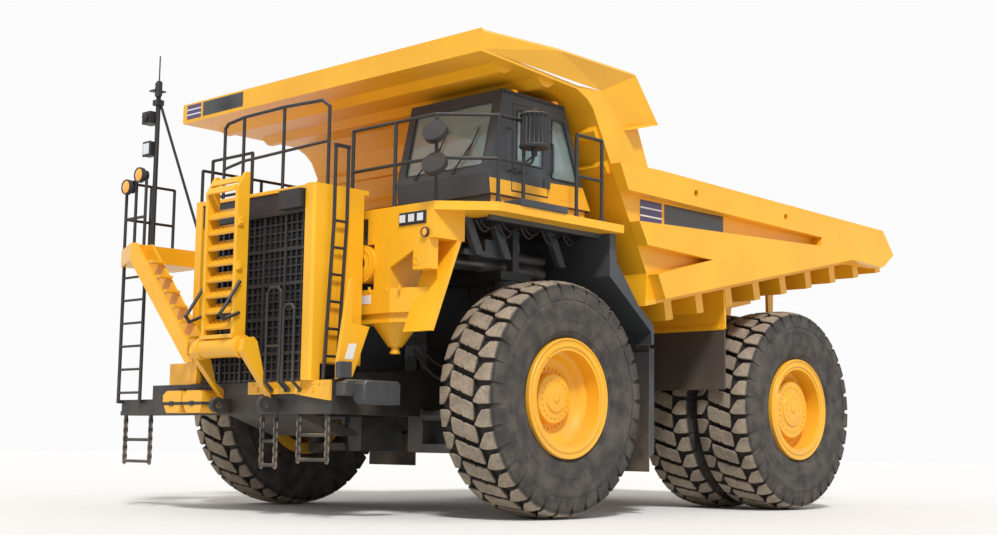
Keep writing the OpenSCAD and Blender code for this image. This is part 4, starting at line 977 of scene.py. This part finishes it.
def makeFront(values):
    ladderGrip(values)
    fitted, dark = Shell(), Shell()
    # Studs on the fixed stair's treads
    (footY, footZ), (stepY, stepZ) = values["stairFoot"], values["stairStep"]
    for i in range(1, 7):
        y, z = footY + stepY * i, footZ + stepZ * i
        studs = [[x, y + out, z - 0.001] for x in np.linspace(2.91, 3.07, 4) for out in (-0.055, 0.0, 0.055)]
        fitted.bolts(studs, (0, 0, 1), 0.012, 0.008, 8)
    boxStraps(values)
    # Leaning brace at each side of the radiator, with its bright strip
    bright = Shell()
    for sign in (1, -1):
        fitted.slab(values["brace"], "y", *onSide(sign, 1.545, 1.6), 0.006)
        bright.slab(values["strip"], "y", *onSide(sign, 1.599, 1.603), 0.001)
    # Small dark box on the near brace's foot, and a blank plate on the near pan's face
    dark.slab(values["footBox"], "y", 1.61, 1.7, 0.01)
    bright.slab(values["plate"], "x", 1.897, 1.904, 0.001)
    bright.piece("bright_strips", "white", "chassis")
    # Bolts along the bumper's face, the hinge blocks and the pan's lip
    x, ahead = values["faceX"], (1, 0, 0)
    fitted.bolts([[x, y, 1.655] for y in np.linspace(0.06, 1.5, 13)], ahead, 0.015, 0.016)
    hinge = [[x, y, z] for y in (0.15, 0.31, 1.1, 1.26) for z in (1.565, 1.6)]
    fitted.bolts(hinge, ahead, 0.016, 0.02)
    for sign in (1, -1):
        side = np.array([1, sign, 1])
        fitted.bolts([[1.9005, sign * y, z] for y, z in values["lip"]], ahead, 0.01, 0.01)
        # Round face plate of the air cleaner's drum, ring of the pan's spout and face of the small case
        centre = values["drumCentre"] * side
        fitted.lathe(values["drumFace"], centre, ahead, 48, ring=True)
        fitted.boltCircle(centre, ahead, 0.225, 10, 0.009, 0.01)
        fitted.lathe(values["spoutRing"], values["spout"] * side, (0, 0, 1), 32, ring=True)
        fitted.lathe(values["caseFace"], values["case"] * side, ahead, 32, ring=True)
        # Catches round the pan
        for y in (1.3, 1.62, 1.86):
            fitted.slab(values["catch"], "y", *onSide(sign, y, y + 0.035), 0.006)
    fitted.piece("front_fittings", "yellow", "chassis", "yellow")

    # Links round the chains that carry the hanging steps
    links = Shell()
    for low, high, foot in values["steps"]:
        for y in (low + 0.04, high - 0.04):
            for k in range(int((values["stepsTop"] - foot) / values["link"])):
                link(links, (values["stepsX"], y, foot + (k + 0.5) * values["link"]), k % 2 == 0, values)
    links.piece("chain_links", "chain", "chassis")

    # Finer wires between the grille's bars
    wires = Shell()
    half, pitch, radius = values["gridHalf"], values["gridPitch"], values["gridWire"]
    for k in range(20):
        y = -half + pitch * (k + 0.5)
        wires.tube([(2.716, y, 1.695), (2.716, y, 3.798)], radius, 6)
    for k in range(19):
        z = 3.8 - pitch * (k + 0.5)
        wires.tube([(2.72, -half + 0.002, z), (2.72, half - 0.002, z)], radius, 6)
    wires.piece("grille_wires", "black", "chassis", "black")

    # Dark box beside the bumper with its ribs and bolts, and a smaller box behind it
    for sign in (1, -1):
        dark.slab(values["sideBox"], "y", *onSide(sign, 1.72, 1.93), 0.015)
        for x in (2.02, 2.2, 2.38):
            dark.slab(rectangle((x, x + 0.03), (1.43, 1.66)), "y", *onSide(sign, 1.928, 1.94))
        heads = [[x, sign * 1.925, z] for x in (1.94, 2.11, 2.29) for z in (1.45, 1.64)]
        dark.bolts(heads, (0, sign, 0), 0.014, 0.016)
        dark.slab(values["rearBox"], "y", *onSide(sign, 1.565, 1.74), 0.02)
    dark.piece("front_boxes", "slate", "chassis", "slate")


makeFront(front)
print("front made")


# Hoses, cables and air ducts

hoseSets = {
    # Brake and grease lines from the frame to the front axle: ends, drop, radius
    "axleLines": [((0.55, 0.8, 2.3), (0.12, 1.45, 2.05), 0.22, 0.018),
                  ((0.62, 0.8, 2.2), (0.18, 1.42, 1.9), 0.25, 0.021),
                  ((-0.35, 0.8, 2.05), (-0.1, 1.4, 1.75), 0.2, 0.018)],
    "bundles": (1.1, -0.42, 5),  # first x, step, count
    "supply": [(0.1, 1.86), (-1.6, 1.7), (-3.4, 1.62), (-3.8, 1.58)],  # x and z
    "duct": [(1.32, 1.2, 3.205), (0.95, 1.16, 3.22), (0.6, 0.9, 3.24), (0.45, 0.44, 3.2)],
    "ductRadius": 0.125,
    "clamps": [((1.22, 1.188, 3.21), (1, 0.1, 0)), ((0.98, 1.15, 3.22), (1, 0.35, 0))],
    "clamp": [(0.12, -0.012), (0.134, -0.012), (0.134, 0.012), (0.12, 0.012)],
}


def sagging(a, b, drop, count=12):
    # Points from a to b with the middle let down by drop: a parabola, 4 t (1 - t)
    t = np.linspace(0, 1, count)[:, None]
    a, b = np.array(a, float), np.array(b, float)
    return a + (b - a) * t + np.array([0, 0, -1.0]) * drop * 4 * t * (1 - t)


def makeHoses(values):
    hoses, ducts = Shell(), Shell()
    first, step, count = values["bundles"]
    for sign in (1, -1):
        side = np.array([1, sign, 1])
        for a, b, drop, radius in values["axleLines"]:
            hoses.tube(sagging(a, b, drop) * side, radius)
        # Cable bundles that loop under the deck's edge, each a thick one beside a thin one
        for k in range(count):
            x = first + step * k
            thick = sagging((x, 2.42, 3.77), (x - 0.36, 2.36, 3.77), 0.13 + 0.03 * (k % 2))
            thin = sagging((x - 0.05, 2.44, 3.775), (x - 0.4, 2.4, 3.775), 0.09)
            hoses.tube(thick * side, 0.014)
            hoses.tube(thin * side, 0.01)
        # Hoist supply hoses along the frame
        for k in (0, 1):
            path = [(x, 0.8 + 0.045 * k, z + 0.05 * k) for x, z in values["supply"]]
            hoses.tube(curve(path, 0.2) * side, 0.02)
        # Air duct from the cleaner's drum in to the engine, with its clamps
        ducts.tube(curve(values["duct"], 0.3, 8) * side, values["ductRadius"], 20)
        for place, way in values["clamps"]:
            ducts.lathe(values["clamp"], place * side, way * side, 32, ring=True)
    hoses.piece("hoses", "flap", "chassis")
    ducts.piece("air_ducts", "trim", "chassis", "trim")


makeHoses(hoseSets)
print("hoses made")


# Flaps, guard mats, engine shields with the black sheet that paints shade and soot under the deck, feet of
# the rails and the step at the door

frontMat = {"sway": 0.012, "turns": 9.0, "fall": 1.74, "thick": 0.016}
guardMat = {"sway": 0.006, "turns": 12.0, "fall": 0.9, "thick": 0.038}
fittings = {
    "flapX": -1.895,
    "flapY": (1.8, 2.88, 25),  # low, high and number of points
    "flapZ": (0.59, 2.33, 12),
    "guardTop": 2.69,
    "shield": [(-1.18, 2.7), (-0.1, 2.7), (-0.1, 3.6), (-0.72, 3.6), (-1.18, 3.18)],
    "shieldRibs": (-1.08, 0.17, 6),  # first x, step, count
    "posts": [(1.85, 0.88), (1.85, 1.7), (1.85, 2.45), (1.31, 3.0), (0.85, 3.0), (-0.18, 3.0),
              (-0.7, 3.0), (1.85, -1.3), (1.85, -2.25), (1.5, -3.0), (0.4, -3.0), (-0.7, -3.0)],
    "post": [(0.02, 0), (0.048, 0), (0.048, 0.01), (0.034, 0.016), (0.03, 0.05), (0.02, 0.05)],
    "deckZ": 3.9,
    "step": [(0.06, 2.76), (0.955, 2.76), (0.955, 3.062), (0.9, 3.075), (0.115, 3.075), (0.06, 3.062)],
}


def hangingMat(shell, sign, x, across, up, values):
    # Mat whose foot sways by sway * sin(turns * y), growing from nothing at its top over the fall
    y = np.linspace(*across)
    z = np.linspace(*up)[:, None]
    wave = values["sway"] * np.sin(y * values["turns"])[None, :] * (up[1] - z) / values["fall"]
    face = np.stack([x + wave, sign * y + 0 * wave, z + 0 * wave], axis=-1)
    back = (face - [values["thick"], 0, 0])[:, ::-1]
    shell.grid(np.concatenate([face, back], axis=1), aroundV=True, capU=True)


def makeFlaps(values, feet):
    # Rubber flaps behind the front wheels, each with its strip
    flaps = Shell()
    for sign in (1, -1):
        hangingMat(flaps, sign, values["flapX"], values["flapY"], values["flapZ"], frontMat)
        feet.slab(rectangle(onSide(sign, 1.79, 2.89), (2.255, 2.335)), "x", -1.894, -1.882, 0.003)
        feet.bolts([[-1.883, sign * v, 2.295] for v in np.linspace(1.85, 2.83, 8)], (1, 0, 0), 0.014, 0.014)
    flaps.piece("front_flaps", "flap", "chassis")
    # Rubber mats on the bed's guards, hung from a bolted strip
    mats, strips = Shell(), Shell()
    guardLow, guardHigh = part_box("bed_guards")
    x = guardLow.x - frontAxleX
    inner, outer = rearInner - 0.4 * tyreWidth + 0.015, guardHigh.y - 0.015
    up = (guardLow.z - 0.004, values["guardTop"], 14)
    for sign in (1, -1):
        hangingMat(mats, sign, x + 0.034, (inner, outer, 33), up, guardMat)
        strips.slab(rectangle(onSide(sign, inner, outer), (2.662, 2.738)), "x", x + 0.028, x + 0.047, 0.003)
        heads = [[x + 0.046, sign * v, 2.7] for v in np.linspace(inner + 0.08, outer - 0.08, 12)]
        strips.bolts(heads, (1, 0, 0), 0.016, 0.014)
    mats.piece("guard_mats", "mat", "bed")
    strips.piece("guard_strips", "yellow", "bed", "yellow")


def makeShieldsAndDeckShadeSheet(values):
    # Dark shields that stand on the frame beside the engine, pressed with ribs, and a black sheet under the
    # deck that paints the shade and soot of the deck's underside
    shields = Shell()
    first, step, count = values["shieldRibs"]
    for sign in (1, -1):
        shields.slab(values["shield"], "y", *onSide(sign, 0.7, 0.722), 0.005)
        for k in range(count):
            rib = first + step * k
            outline = rectangle((rib, rib + 0.05), (2.76, 3.14))
            shields.slab(outline, "y", *onSide(sign, 0.718, 0.738), 0.006)
        # Black sheet under the yellow deck: painted shade of its underside, with some soot
        shields.slab(rectangle((-1.02, 1.1), onSide(sign, 0.76, 2.62)), "z", 3.772, 3.789, 0.003)
    shields.piece("engine_shields_and_deck_shade_sheet", "black", "chassis", "black")


def makeFittings(values):
    feet = Shell()
    makeFlaps(values, feet)
    makeShieldsAndDeckShadeSheet(values)
    for x, y in values["posts"]:
        feet.lathe(values["post"], (x, y, values["deckZ"]), (0, 0, 1), 16, ring=True)
    feet.piece("rail_feet", "black", "chassis", "black")
    # Dark step that hangs at the deck's edge below the cab door
    step = Shell()
    step.slab(values["step"], "z", 3.902, 3.99, 0.01)
    step.piece("door_step", "slate", "chassis", "slate")


makeFittings(fittings)
print("flaps, mats and shields made")


# Floor and light

stage = {
    "floorHalf": 90.0,
    "floorColour": (0.8, 0.79, 0.77),
    "sunStrength": 2.7,
    "sunAngle": math.radians(9),
    "sunFrom": (0.7, 0.8, 1.15),
    "fillStrength": 0.62,
    "skyStrength": 0.97,
}


def makeStage(values):
    half = values["floorHalf"]
    shell = bpy.data.meshes.new("floor")
    shell.from_pydata([(x, y, 0) for x, y in rectangle((-half, half), (-half, half))], [], [[0, 1, 2, 3]])
    floor = newObject("floor", shell)
    bench, place = newMaterial("paleFloor")
    pale = values["floorColour"]
    tone = bench.mix(bench.noise(place, 0.6, 4.0), pale, tuple(c * 0.97 for c in pale))
    shell.materials.append(bench.finish(colour=tone, rough=0.9))

    # White sky: full to the camera, in reflections and through glass, dimmed as a light
    sky = Bench(bpy.data.worlds.new("studio"))
    bpy.context.scene.world = sky.holder
    seen = sky.node("ShaderNodeLightPath", output="Is Camera Ray")
    for ray in ("Is Transmission Ray", "Is Glossy Ray"):
        seen = sky.maths("MAXIMUM", seen, sky.node("ShaderNodeLightPath", output=ray))
    strength = sky.node("ShaderNodeMapRange", {}, {"Value": seen, "To Min": values["fillStrength"],
                                                   "To Max": values["skyStrength"]})
    white = sky.node("ShaderNodeBackground", {}, {"Color": (1.0, 1.0, 1.0), "Strength": strength})
    sky.node("ShaderNodeOutputWorld", {}, {"Surface": white})

    sun = bpy.data.lights.new("key", "SUN")
    sun.energy = values["sunStrength"]
    sun.angle = values["sunAngle"]
    newObject("key", sun).rotation_euler = Vector(values["sunFrom"]).to_track_quat("Z", "Y").to_euler()


makeStage(stage)
print("stage made")
